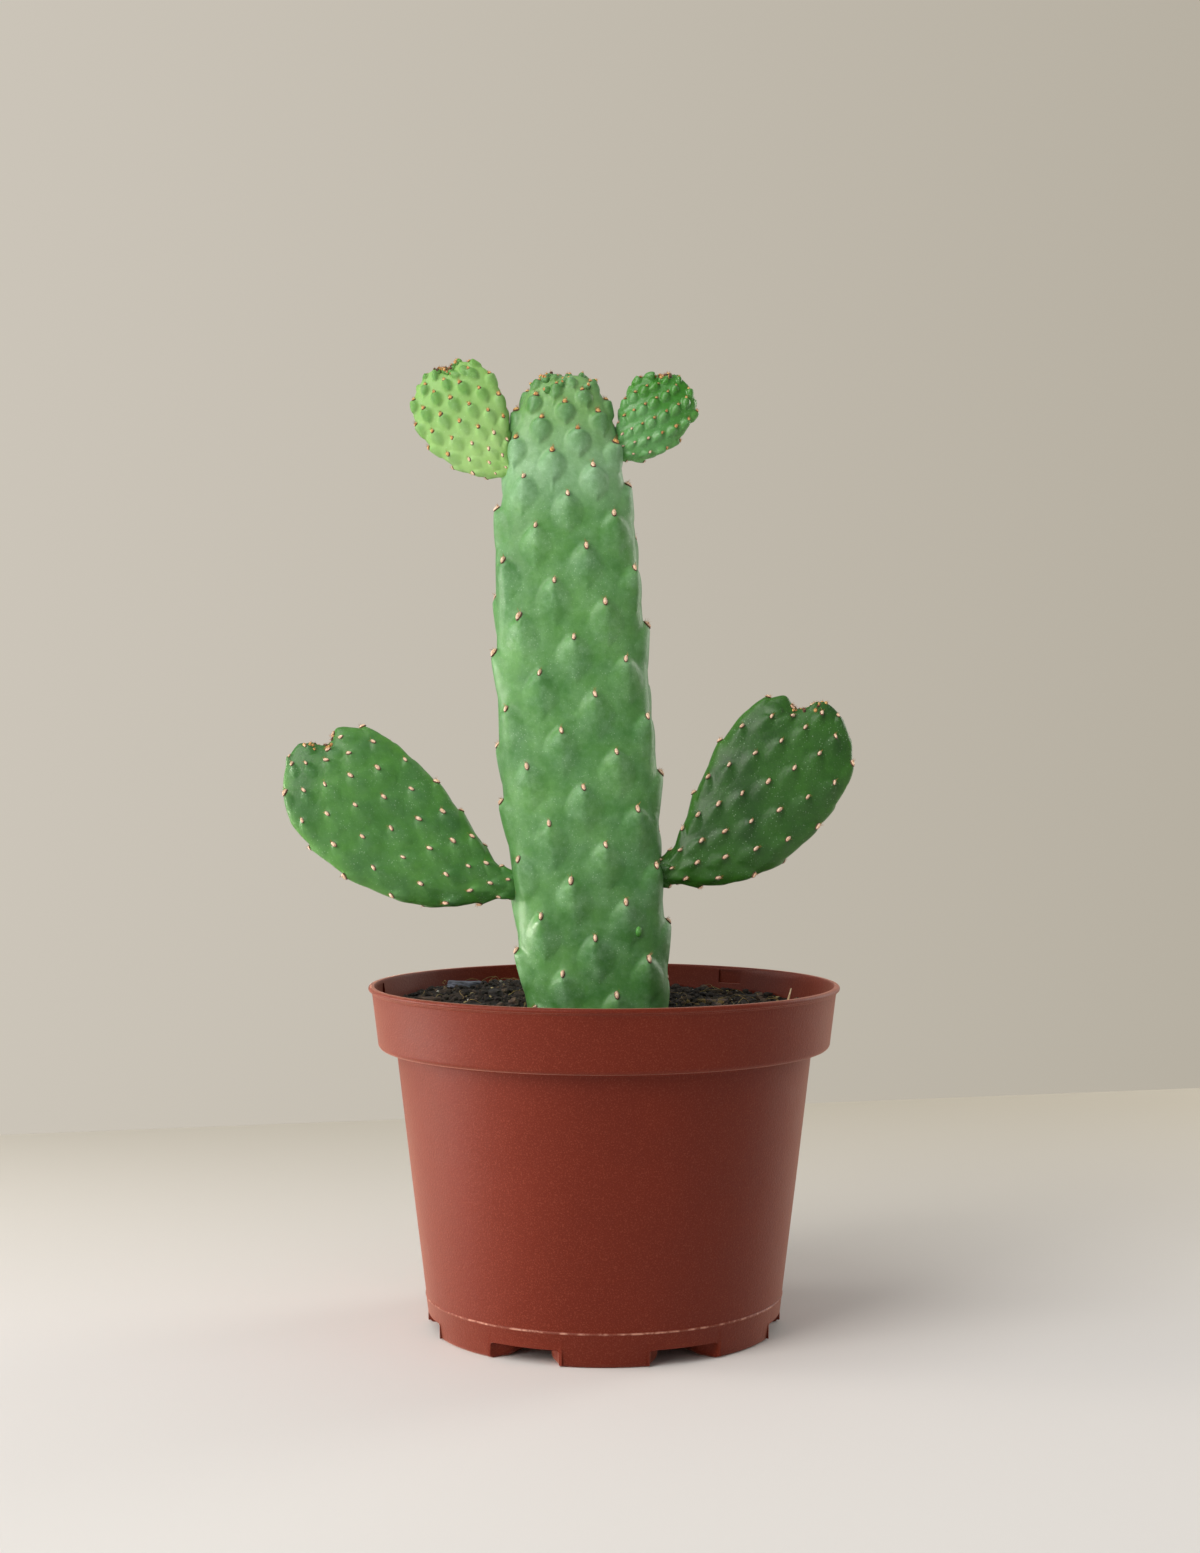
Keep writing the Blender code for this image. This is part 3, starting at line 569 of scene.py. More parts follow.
def cactus_skin(name, deep, fresh, bloom_and_highlight, young, hollow, rim, roughness, bloom_and_highlight_amount):
    """Living green skin under a thin layer of wax: the wax lies pale on the swellings, is rubbed
    thin elsewhere, and gives a broad soft shine. On the glossy young skin the same pale layer is
    painted highlight on the swellings. The green beneath lets some light through."""
    material, tree, shader = new_material(name)
    place = add(tree, "TexCoord").outputs["Object"]
    ridge = add(tree, "Attribute", {"attribute_name": "ridge"}).outputs["Fac"]
    youth = add(tree, "Attribute", {"attribute_name": "youth"}).outputs["Fac"]
    broad = add(tree, "TexNoise", values={"Scale": 70, "Detail": 5, "Roughness": 0.6},
                links={"Vector": place})
    green = two_tone(tree, broad.outputs["Fac"], deep, fresh, 0.36, 0.66)
    tender = two_tone(tree, ridge, hollow, young, 0.05, 0.6)
    aged = add(tree, "Mix", {"data_type": "RGBA"}, links={0: youth, 6: green, 7: tender})
    edge = add(tree, "Attribute", {"attribute_name": "edge"}).outputs["Fac"]
    on_edge = add(tree, "MapRange", values={1: 0.1, 2: 1.0, 3: 0.0, 4: 0.55}, links={0: edge})
    rimmed = add(tree, "Mix", {"data_type": "RGBA"}, {7: linear(rim)},
                 {0: on_edge.outputs[0], 6: aged.outputs[2]})
    cloud = add(tree, "TexNoise", values={"Scale": 160, "Detail": 6, "Roughness": 0.7},
                links={"Vector": place})
    waxy = add(tree, "MapRange", values={1: 0.40, 2: 0.68, 3: 0.15, 4: 1.0},
               links={0: cloud.outputs["Fac"]})
    rubbed = add(tree, "MapRange", values={1: 0.0, 2: 0.9, 3: 0.45, 4: 1.0}, links={0: ridge})
    wax = add(tree, "Math", {"operation": "MULTIPLY"},
              links={0: waxy.outputs[0], 1: rubbed.outputs[0]})
    # wax is thickest where the skin has just stopped growing, and the youngest has none yet
    age = add(tree, "Math", {"operation": "SUBTRACT"}, {0: 1.0}, {1: youth})
    settling = add(tree, "Math", {"operation": "MULTIPLY"}, links={0: youth, 1: age.outputs[0]})
    new_wax = add(tree, "Math", {"operation": "MULTIPLY"},
                  links={0: settling.outputs[0], 1: age.outputs[0]})
    all_wax = add(tree, "Math", {"operation": "MULTIPLY_ADD"}, {1: 5.0},
                  {0: new_wax.outputs[0], 2: wax.outputs[0]})
    wax_and_highlight_amount = add(tree, "Math", {"operation": "MULTIPLY", "use_clamp": True},
                     {1: bloom_and_highlight_amount}, {0: all_wax.outputs[0]})
    # the pale layer is wax, and on the glossy young skin it is painted highlight
    waxed_and_highlighted = add(tree, "Mix", {"data_type": "RGBA"}, {7: linear(bloom_and_highlight)},
                {0: wax_and_highlight_amount.outputs[0], 6: rimmed.outputs[2]})
    # breathing pores, a twentieth of a millimetre in life and drawn as pale specks ten times that
    pores = add(tree, "TexVoronoi", values={"Scale": 1100}, links={"Vector": place})
    pore = add(tree, "MapRange", values={1: 0.08, 2: 0.26, 3: 0.45, 4: 0.0},
               links={0: pores.outputs["Distance"]})
    patchy = add(tree, "MapRange", values={1: 0.46, 2: 0.64, 3: 0.15, 4: 1.0},
                 links={0: cloud.outputs["Fac"]})
    specks = add(tree, "Math", {"operation": "MULTIPLY"},
                 links={0: pore.outputs[0], 1: patchy.outputs[0]})
    dull = add(tree, "TexNoise", values={"Scale": 420, "Detail": 5, "Roughness": 0.65},
               links={"Vector": place})
    deepened = add(tree, "MapRange", values={1: 0.42, 2: 0.66, 3: 0.0, 4: 0.30},
                   links={0: dull.outputs["Fac"]})
    mottled = add(tree, "Mix", {"data_type": "RGBA"}, {7: linear(deep)},
                  {0: deepened.outputs[0], 6: waxed_and_highlighted.outputs[2]})
    colour = add(tree, "Mix", {"data_type": "RGBA"}, {7: linear("#b9d8b4")},
                 {0: specks.outputs[0], 6: mottled.outputs[2]})
    rough = add(tree, "MapRange", values={1: 0.0, 2: 1.0, 3: roughness, 4: roughness + 0.12},
                links={0: waxy.outputs[0]})
    fine = add(tree, "TexNoise", values={"Scale": 900, "Detail": 3}, links={"Vector": place})
    bump = add(tree, "Bump", values={"Strength": 0.25, "Distance": 0.0002},
               links={"Height": fine.outputs["Fac"]})
    soft = add(tree, "Bump", values={"Strength": 0.35, "Distance": 0.0010},
               links={"Height": cloud.outputs["Fac"], "Normal": bump.outputs[0]})
    flesh = {
        "IOR": 1.45, "Subsurface Weight": 0.12, "Subsurface Radius": (0.6, 1.0, 0.3),
        "Subsurface Scale": 0.0015,
    }
    plug(tree, shader, flesh, {
        "Base Color": colour.outputs[2], "Roughness": rough.outputs[0], "Normal": soft.outputs[0],
    })
    return material


# Each areole is a little cushion of felted wool in a dark socket, with a tuft of barbed bristles.
# The socket's dark is painted shade round the cushion. The areoles are peach-coloured and oval
# on old skin, and small, dense and rusty on young skin.
def felted_wool(name, colour, dark):
    """Felted plant hair: no shine, uneven colour, darker in its hollows."""
    material, tree, shader = new_material(name)
    place = add(tree, "TexCoord").outputs["Object"]
    fuzz = add(tree, "TexNoise", values={"Scale": 1600, "Detail": 4}, links={"Vector": place})
    tint = two_tone(tree, fuzz.outputs["Fac"], dark, colour, 0.35, 0.62)
    bump = add(tree, "Bump", values={"Strength": 0.6, "Distance": 0.0003},
               links={"Height": fuzz.outputs["Fac"]})
    plug(tree, shader, {"Roughness": 0.9, "Sheen Weight": 0.3},
         {"Base Color": tint, "Normal": bump.outputs[0]})
    return material


def bristle_horn():
    """Dry horny plant fibre, amber and a little shiny."""
    material, tree, shader = new_material("bristle_horn")
    place = add(tree, "TexCoord").outputs["Object"]
    streak = add(tree, "TexNoise", values={"Scale": 500}, links={"Vector": place})
    tint = two_tone(tree, streak.outputs["Fac"], "#7a4a22", "#c98b45")
    plug(tree, shader, {"Roughness": 0.5}, {"Base Color": tint})
    return material


OLD_WOOL = felted_wool("old_areole_wool", "#f6d9bf", "#cf9f7a")
YOUNG_WOOL = felted_wool("young_areole_wool", "#e6b872", "#a5652e")
# the socket wool is dark as painted shade round each cushion, and it also makes some dark tip tufts
SOCKET_SHADE_AND_DARK_WOOL = felted_wool("socket_shade_and_dark_tuft_wool", "#6b4630", "#3b2416")
BRISTLE = bristle_horn()


def areole_patterns():
    """The cushion and the bristle, one unit in size, that are stamped at every areole."""
    cushion, bristle = bmesh.new(), bmesh.new()
    bmesh.ops.create_uvsphere(cushion, u_segments=8, v_segments=6, radius=1)
    bmesh.ops.create_cone(
        bristle, cap_ends=True, segments=3, radius1=1, radius2=0.25, depth=1,
        matrix=Matrix.Translation((0, 0, 0.5)),
    )
    return pattern(cushion), pattern(bristle)


CUSHION, BRISTLE_SHAPE = areole_patterns()


def skin_tree(pad):
    """The pad's swollen skin, to find its nearest point and the way that it faces there."""
    skin = bmesh.new()
    skin.from_mesh(pad.data)
    tree = BVHTree.FromBMesh(skin)
    skin.free()
    return tree


def dress(name, pad, sites, youth, chance, largest, bead, tip_spots):
    """Puts a dark socket of painted shade, a wool cushion and bristles at each areole on a pad's
    swollen skin, and small crowded tufts at the tip spots, on beads of new growth where the pad is
    still growing. Some of those tufts are of the dark socket wool."""
    tree = skin_tree(pad)
    old, young_ones, shade_sockets_and_dark_tufts, bristles, beads = (bmesh.new() for _ in range(5))
    for i in range(len(sites["share"])):
        point, normal, _, _ = tree.find_nearest(Vector(sites["place"][i]))
        down = Vector(sites["down"][i])
        down = (down - normal * down.dot(normal)).normalized()
        across = down.cross(normal)
        young = float(youth(sites["share"][i]))
        size = min(largest, 0.17 * sites["spacing"][i]) * chance.uniform(0.85, 1.15)
        long, wide = size * (1.05 - 0.30 * young), size * (0.48 + 0.16 * young)
        basis = Matrix((across, down, normal)).transposed().to_4x4()
        lean = Matrix.Rotation(chance.uniform(-0.25, 0.25), 4, "Z")
        spot = Matrix.Translation(point) @ basis @ lean @ Matrix.Translation((0, 0, size * 0.05))
        # a dark socket under each cushion: painted shade round its rim
        stamp(shade_sockets_and_dark_tufts, CUSHION, spot @ Matrix.Diagonal((wide * 1.25, long * 1.15, size * 0.34, 1)))
        lifted = spot @ Matrix.Translation((0, 0, size * 0.12))
        cushion = lifted @ Matrix.Diagonal((wide, long, size * 0.62, 1))
        stamp(young_ones if young > 0.45 else old, CUSHION, cushion)
        for _ in range(7 + int(5 * young)):
            tilt = Matrix.Rotation(chance.uniform(-0.7, 0.7), 4, "X")
            tilt = tilt @ Matrix.Rotation(chance.uniform(-0.7, 0.7), 4, "Y")
            foot = (chance.uniform(-0.4, 0.4) * wide, -long * chance.uniform(0.2, 0.8), size * 0.2)
            length = size * chance.uniform(0.8, 1.4)
            thin = Matrix.Diagonal((size * 0.05, size * 0.05, length, 1))
            stamp(bristles, BRISTLE_SHAPE, spot @ Matrix.Translation(foot) @ tilt @ thin)
    for spot_at in tip_spots:
        point, normal, _, _ = tree.find_nearest(Vector(spot_at))
        size = chance.uniform(0.00030, 0.00062)
        basis = normal.to_track_quat("Z", "Y").to_matrix().to_4x4()
        spot = Matrix.Translation(point) @ basis
        if bead:
            round_bead = bead * chance.uniform(0.6, 1.1)
            stamp(beads, CUSHION, spot @ Matrix.Diagonal((round_bead, round_bead, round_bead * 1.3, 1)))
            spot = spot @ Matrix.Translation((0, 0, round_bead * 1.15))
        tuft = chance.choice((young_ones, young_ones, shade_sockets_and_dark_tufts))
        stamp(tuft, CUSHION, spot @ Matrix.Diagonal((size, size * 1.2, size * 0.9, 1)))
        for _ in range(5):
            tilt = Matrix.Rotation(chance.uniform(-0.8, 0.8), 4, "X")
            tilt = tilt @ Matrix.Rotation(chance.uniform(-0.8, 0.8), 4, "Y")
            thin = Matrix.Diagonal((0.00006, 0.00006, size * chance.uniform(1.4, 2.4), 1))
            stamp(bristles, BRISTLE_SHAPE, spot @ tilt @ thin)
    finish(name + "_areole_shade_and_dark_tufts", shade_sockets_and_dark_tufts, SOCKET_SHADE_AND_DARK_WOOL, smooth_angle=180)
    for age, wool, material in (("old", old, OLD_WOOL), ("young", young_ones, YOUNG_WOOL)):
        if wool.verts:
            finish(f"{name}_{age}_wool", wool, material, smooth_angle=180)
        else:
            wool.free()
    finish(name + "_bristles", bristles, BRISTLE, smooth_angle=40)
    if bead:
        new_growth = finish(name + "_tip_beads", beads, pad.data.materials[0], smooth_angle=180)
        for label in ("ridge", "youth"):
            paint(new_growth, label, np.ones(len(new_growth.data.vertices)))
    else:
        beads.free()


def stem_youth(share):
    """How young the skin is along the stem: 0 on its old part, 1 at its crown."""
    return smooth_step(0.78, 0.99, np.asarray(share, float))


def stem_swelling(young, spacing):
    """Height of a swelling, which is lower where the areoles crowd."""
    return (0.0025 + 0.0007 * young) * min(1.0, spacing / 0.012) ** 0.7


STEM_SKIN = cactus_skin(
    "waxy_stem_skin", deep="#3d7933", fresh="#5d9649", bloom_and_highlight="#9cc6a0", young="#447f2b",
    hollow="#7aaa60", rim="#4d873a", roughness=0.36, bloom_and_highlight_amount=0.55,
)
stem_sites = areole_sites(
    stem_at, length=STEM_HEIGHT + STEM_BURIED, first=0.2404, turn=0.38097, start=-0.0046,
    step=0.00992, tip_step=0.0001, slows_at=0.920, slows_over=0.060,
)
stem = grown(
    "main_stem_skin", stem_at, stem_sites, stem_swelling, segments=200, rings=330,
    material=STEM_SKIN, slot="stem_skin", replaced=["main_stem"], youth=stem_youth,
)
tip_chance = random.Random(3)
tip_spots = [
    stem_at(np.array([tip_chance.uniform(0, math.tau)]), np.array([tip_chance.uniform(0.968, 1)]))[0]
    for _ in range(30)
]
dress(
    "main_stem", stem, stem_sites, stem_youth, tip_chance, largest=0.00135,
    bead=0.0013, tip_spots=tip_spots,
)

# a new areole that has swollen but not opened, low on the right: a glossy green blister
BLISTER_SKIN = cactus_skin(
    "blister_skin", deep="#4c9a3a", fresh="#62b048", bloom_and_highlight="#c4e6bd", young="#62b048",
    hollow="#62b048", rim="#62b048", roughness=0.10, bloom_and_highlight_amount=0.20,
)
blister = bmesh.new()
on_skin, facing, _, _ = skin_tree(stem).find_nearest(Vector((0.0162, -0.02, 0.124)))
stamp(
    blister, CUSHION,
    Matrix.Translation(on_skin) @ facing.to_track_quat("Z", "Y").to_matrix().to_4x4()
    @ Matrix.Diagonal((0.0011, 0.0018, 0.0008, 1)),
)
finish("stem_blister", blister, BLISTER_SKIN, smooth_angle=180)


# ---- side pads
# Two full-grown pads leave the stem low down on its edges, and two young ones, each a few weeks
# old, sit beside its crown. All grew from areoles on the stem's edges and bend up to the light.

# length along the pad, width and thickness, each as a share of the greatest
PAD_OUTLINE = (
    (0.00, 0.22, 0.60),
    (0.10, 0.25, 0.66),
    (0.24, 0.59, 0.86),
    (0.40, 0.86, 0.97),
    (0.57, 1.00, 1.00),
    (0.71, 1.01, 0.97),
    (0.84, 0.98, 0.88),
    (1.00, 0.88, 0.72),
)
NECK_SUNK = 0.005
NECK_HALF_WIDTH = 0.0262


def pad_surface(side, height, length, width, thickness, start_deg, end_deg, bend, turn_deg,
                notch, notch_above):
    """The surface, as a function, of a pad that bends upwards from its neck on the stem's edge.
    It has a notch at its tip, where its growing point was."""
    half = NECK_HALF_WIDTH * through(STEM_OUTLINE, np.array([height]), 1)[0]
    full = length + NECK_SUNK
    steps = np.linspace(0, 1, 161)
    angles = np.radians(end_deg + (start_deg - end_deg) * (1 - steps) ** bend)
    headings = np.stack([side * np.cos(angles), 0 * angles, np.sin(angles)], -1)
    neck = stem_centre(height) + side * (half - NECK_SUNK)
    start = np.array([neck, 0, MIX_LEVEL + height * STEM_HEIGHT])
    travelled = np.concatenate([np.zeros((1, 3)), np.cumsum(headings[:-1], 0)]) * full / 160
    line = start + travelled
    turn = math.radians(turn_deg)

    def at(around, share):
        middle = np.stack([np.interp(share, steps, line[:, i]) for i in range(3)], -1)
        angle = np.interp(share, steps, angles)
        heading = np.stack([side * np.cos(angle), 0 * angle, np.sin(angle)], -1)
        up = np.stack([-side * np.sin(angle), 0 * angle, np.cos(angle)], -1)
        level = np.array([0, 1, 0])
        edge = up * math.cos(turn) + level * math.sin(turn)
        face = up * math.sin(turn) - level * math.cos(turn)
        rounding = round_off(1 - share, 0.26) * round_off(share, NECK_SUNK / full)
        half_width = width / 2 * through(PAD_OUTLINE, share, 1) * rounding
        half_thick = thickness / 2 * through(PAD_OUTLINE, share, 2) * rounding
        cosine, sine = np.cos(around), np.sin(around)
        across = half_width * np.sign(cosine) * np.abs(cosine) ** 0.9
        outwards = half_thick * np.sign(sine) * np.abs(sine) ** 0.9
        off = (across - notch_above) / (width * 0.16)
        sunk = notch * np.maximum(0, 1 - off**2) ** 2 * np.maximum(0, (share - 0.8) / 0.2)
        return middle + edge * across[..., None] + face * outwards[..., None] - heading * sunk[..., None]

    return at


LEFT_SKIN = cactus_skin(
    "dark_pad_skin", deep="#316827", fresh="#4f8b37", bloom_and_highlight="#739f7b", young="#5f9a3c",
    hollow="#5f9a3c", rim="#609a3a", roughness=0.36, bloom_and_highlight_amount=0.32,
)
# painted shade: a darker copy of the left pad's skin, for the right pad that faces away from the light
SHADED_RIGHT_SKIN = cactus_skin(
    "shaded_pad_skin", deep="#1d4a12", fresh="#32671c", bloom_and_highlight="#547f52", young="#4c8a2c",
    hollow="#4c8a2c", rim="#4a8526", roughness=0.36, bloom_and_highlight_amount=0.14,
)
PALE_YOUNG_SKIN = cactus_skin(
    "pale_young_skin", deep="#86b958", fresh="#9ccb6a", bloom_and_highlight="#b5d6a0", young="#4f8f34",
    hollow="#86b862", rim="#7fb550", roughness=0.42, bloom_and_highlight_amount=0.30,
)
# its pale layer is painted highlight: mint patches on the swellings, for the shine of the lamps
GLOSSY_YOUNG_SKIN = cactus_skin(
    "glossy_young_skin", deep="#377c19", fresh="#488f22", bloom_and_highlight="#9ad0a0", young="#3a8019",
    hollow="#317a12", rim="#5da234", roughness=0.20, bloom_and_highlight_amount=0.30,
)

# raised is the height of a swelling, and at_neck its share of that at the neck. young is where
# the skin turns from old to young, in shares of the pad's length. areole is half the longest
# wool cushion, and bead is half the largest bead of new growth at the tip.
FULL_GROWN = {
    "slot": "stem_skin", "raised": 0.00120, "at_neck": 1.0, "young": (1.2, 2.0),
    "areole": 0.00108, "bead": 0, "mesh": (150, 190),
}
YOUNG = {
    "slot": "young_skin", "raised": 0.00165, "at_neck": 0.5, "young": (-0.1, 0.95),
    "areole": 0.00125, "bead": 0.0010,
}
SIDE_PADS = {
    "lower_left_pad": {
        **FULL_GROWN,
        "skin": LEFT_SKIN,
        "size": dict(
            side=-1, height=0.192, length=0.0826, width=0.0420, thickness=0.0112, start_deg=2.0,
            end_deg=44.0, bend=2.6, turn_deg=6.0, notch=0.0062, notch_above=0.0062,
        ),
        "areoles": dict(
            first=0.7202, turn=-0.38299, start=0.0097, step=0.01221, tip_step=0.0059,
            slows_at=0.808, slows_over=0.081,
        ),
    },
    "lower_right_pad": {
        **FULL_GROWN,
        "skin": SHADED_RIGHT_SKIN,
        "size": dict(
            side=1, height=0.211, length=0.0764, width=0.0407, thickness=0.0109, start_deg=5.0,
            end_deg=57.5, bend=3.0, turn_deg=5.0, notch=0.0058, notch_above=0.0064,
        ),
        "areoles": dict(
            first=0.3174, turn=0.38125, start=0.0217, step=0.01248, tip_step=0.0094,
            slows_at=0.858, slows_over=0.02,
        ),
    },
    "upper_left_pad": {
        **YOUNG,
        "skin": PALE_YOUNG_SKIN,
        "mesh": (130, 130),
        "size": dict(
            side=-1, height=0.842, length=0.0388, width=0.0288, thickness=0.0078, start_deg=11.0,
            end_deg=62.0, bend=4.0, turn_deg=-12.0, notch=0.0030, notch_above=0.0031,
        ),
        "areoles": dict(
            first=0.3020, turn=0.38359, start=0.0225, step=0.01357, tip_step=0.0024,
            slows_at=0.965, slows_over=0.080,
        ),
    },
    "upper_right_pad": {
        **YOUNG,
        "skin": GLOSSY_YOUNG_SKIN,
        "mesh": (130, 120),
        "size": dict(
            side=1, height=0.868, length=0.0300, width=0.0222, thickness=0.0072, start_deg=9.0,
            end_deg=63.0, bend=2.9, turn_deg=8.0, notch=0.0030, notch_above=0.0037,
        ),
        "areoles": dict(
            first=0.8112, turn=0.38054, start=0.0413, step=0.0130, tip_step=0.0113,
            slows_at=0.746, slows_over=0.02,
        ),
    },
}

for number, (pad_name, pad) in enumerate(SIDE_PADS.items()):
    surface = pad_surface(**pad["size"])
    sites = areole_sites(surface, length=pad["size"]["length"] + NECK_SUNK, **pad["areoles"])

    def pad_youth(share, between=pad["young"]):
        return smooth_step(*between, np.asarray(share, float))

    def pad_swelling(young, spacing, raised=pad["raised"], at_neck=pad["at_neck"]):
        return raised * (at_neck + (1 - at_neck) * young) * min(1.0, spacing / 0.004) ** 0.5

    grown_pad = grown(
        pad_name + "_skin", surface, sites, pad_swelling, *pad["mesh"], pad["skin"], pad["slot"],
        [pad_name], pad_youth,
    )
    chance = random.Random(10 + number)
    spots = [
        surface(np.array([chance.choice((-1, 1)) * chance.uniform(0.1, 1.7)]),
                np.array([1 - 0.045 * chance.random() ** 0.7]))[0]
        for _ in range(44)
    ]
    dress(
        pad_name, grown_pad, sites, pad_youth, chance, largest=pad["areole"],
        bead=pad["bead"], tip_spots=spots,
    )


# ---- roots
# A short woody crown under the stem with a few branching roots, living wood under a thin layer
# of cork. The mix hides them.


def corky_root():
    """Root cork: fibrous, dull and pale brown."""
    material, tree, shader = new_material("corky_root")
    place = add(tree, "TexCoord").outputs["Object"]
    strands = add(tree, "TexNoise", values={"Scale": 350, "Detail": 4}, links={"Vector": place})
    tint = two_tone(tree, strands.outputs["Fac"], "#5d452e", "#a98a63")
    bump = add(tree, "Bump", values={"Strength": 0.6, "Distance": 0.0006},
               links={"Height": strands.outputs["Fac"]})
    plug(tree, shader, {"Roughness": 0.85}, {"Base Color": tint, "Normal": bump.outputs[0]})
    return material


root_cork = corky_root()
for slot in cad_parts["roots"].material_slots:
    slot.material = root_cork


# ---- potting mix
# Dark peat and composted bark, filled to a finger's breadth below the lip and heaped a little
# round the stem. Crumbs of every size, grit and hair-like fibres lie loose on top.


def mix_height(x, y):
    """Height of the settled mix, before its crumbs: heaped behind the stem on the left."""
    heap = 0.0050 * math.exp(-(((x + 0.036) ** 2 + (y - 0.030) ** 2) / 0.024**2))
    slope = 0.014 * y - 0.006 * x
    broad = noise.noise(Vector((x * 55, y * 55, 0.3))) * 0.0010
    fine = noise.noise(Vector((x * 260, y * 260, 4.0))) * 0.0007
    return MIX_LEVEL - 0.0008 + heap + slope + broad + fine


def loose_matter(name, dark, light, spread):
    """An ingredient of the mix, rough and dull all over: dark where it is damp, and lighter in
    the patches that have dried."""
    material, tree, shader = new_material(name)
    place = add(tree, "TexCoord").outputs["Object"]
    blotch = add(tree, "TexNoise", values={"Scale": spread, "Detail": 5}, links={"Vector": place})
    tint = two_tone(tree, blotch.outputs["Fac"], dark, light, 0.42, 0.72)
    grit = add(tree, "TexNoise", values={"Scale": 1400, "Detail": 3}, links={"Vector": place})
    bump = add(tree, "Bump", values={"Strength": 0.7, "Distance": 0.0005},
               links={"Height": grit.outputs["Fac"]})
    plug(tree, shader, {"Roughness": 0.85}, {"Base Color": tint, "Normal": bump.outputs[0]})
    return material


def make_mix():
    """The settled mix fills the pot to its floor, and its top is spun flat, then heaped."""
    rings, clear, bottom = 70, 0.0003, 0.007
    rim = pot_radius(MIX_LEVEL) - WALL - clear
    level = [(rim * i / rings, MIX_LEVEL) for i in range(rings + 1)]
    ledge = COLLAR_FOOT + WALL + clear
    inside = [
        (pot_radius(ledge) - WALL - 0.0012, ledge),
        (pot_radius(COLLAR_FOOT) - WALL - clear, ledge),
        (pot_radius(bottom) - WALL - clear, bottom),
        (0, bottom),
    ]
    shape = spun([*level, *inside], 300)
    for vertex in shape.verts:
        if vertex.co.z > MIX_LEVEL - 1e-6:
            vertex.co.z = mix_height(vertex.co.x, vertex.co.y)
    finish("settled_mix", shape, loose_matter("settled_peat", "#171310", "#3a2f26", 300),
           ["soil"], smooth_angle=180)


def lumps(seed, count):
    """Rough twenty-sided lumps, one unit across."""
    chance = random.Random(seed)
    made = []
    for _ in range(count):
        shape = bmesh.new()
        bmesh.ops.create_icosphere(shape, subdivisions=1, radius=0.5)
        stretch = (chance.uniform(0.7, 1.3), chance.uniform(0.7, 1.1), 1)
        for vertex in shape.verts:
            vertex.co = [c * s * chance.uniform(0.7, 1.25) for c, s in zip(vertex.co, stretch)]
        made.append(pattern(shape))
    return made


def scatter(name, count, sizes, material, chance, flat=0.7, reach=0.0705, deep=0.25, off=(0, 0)):
    """Loose crumbs of the mix, each a rough lump pressed a little into the surface."""
    crumbs = bmesh.new()
    kinds = lumps(seed=count, count=12)
    placed = 0
    while placed < count:
        radius = reach * math.sqrt(chance.random())
        angle = chance.uniform(0, math.tau)
        x, y = off[0] + radius * math.cos(angle), off[1] + radius * math.sin(angle)
        if ((x + 0.002) / 0.0245) ** 2 + (y / 0.0112) ** 2 < 1:
            continue
        placed += 1
        size = sizes[0] * (sizes[1] / sizes[0]) ** (chance.random() ** 2.2)
        turn = Matrix.Rotation(chance.uniform(0, math.tau), 4, "Z")
        turn = turn @ Matrix.Rotation(chance.uniform(-0.6, 0.6), 4, "X")
        height = mix_height(x, y) + size * flat * (0.5 - deep)
        scale = Matrix.Diagonal((size, size, size * flat, 1))
        stamp(crumbs, chance.choice(kinds), Matrix.Translation((x, y, height)) @ turn @ scale)
    finish(name, crumbs, material)


make_mix()
scatter("peat_crumbs", 5200, (0.0007, 0.0032), loose_matter("peat_crumb", "#15110f", "#41352b", 260),
        random.Random(21))
scatter("bark_crumbs", 700, (0.0010, 0.0042), loose_matter("bark_crumb", "#2c2622", "#6b5746", 300),
        random.Random(22))
scatter("straw_crumbs", 420, (0.0006, 0.0020), loose_matter("straw_crumb", "#8a7a4a", "#c9b98a", 400),
        random.Random(23), flat=0.5, deep=0.0)
scatter("mossy_clod", 90, (0.0010, 0.0030), loose_matter("dry_moss", "#2e2618", "#8a7440", 350),
        random.Random(26), reach=0.0075, deep=-0.15, off=(0.034, 0.018))
scatter("grit", 90, (0.0006, 0.0016), loose_matter("pumice_grit", "#b3ada4", "#e4e0d8", 500),
        random.Random(24), deep=0.0)


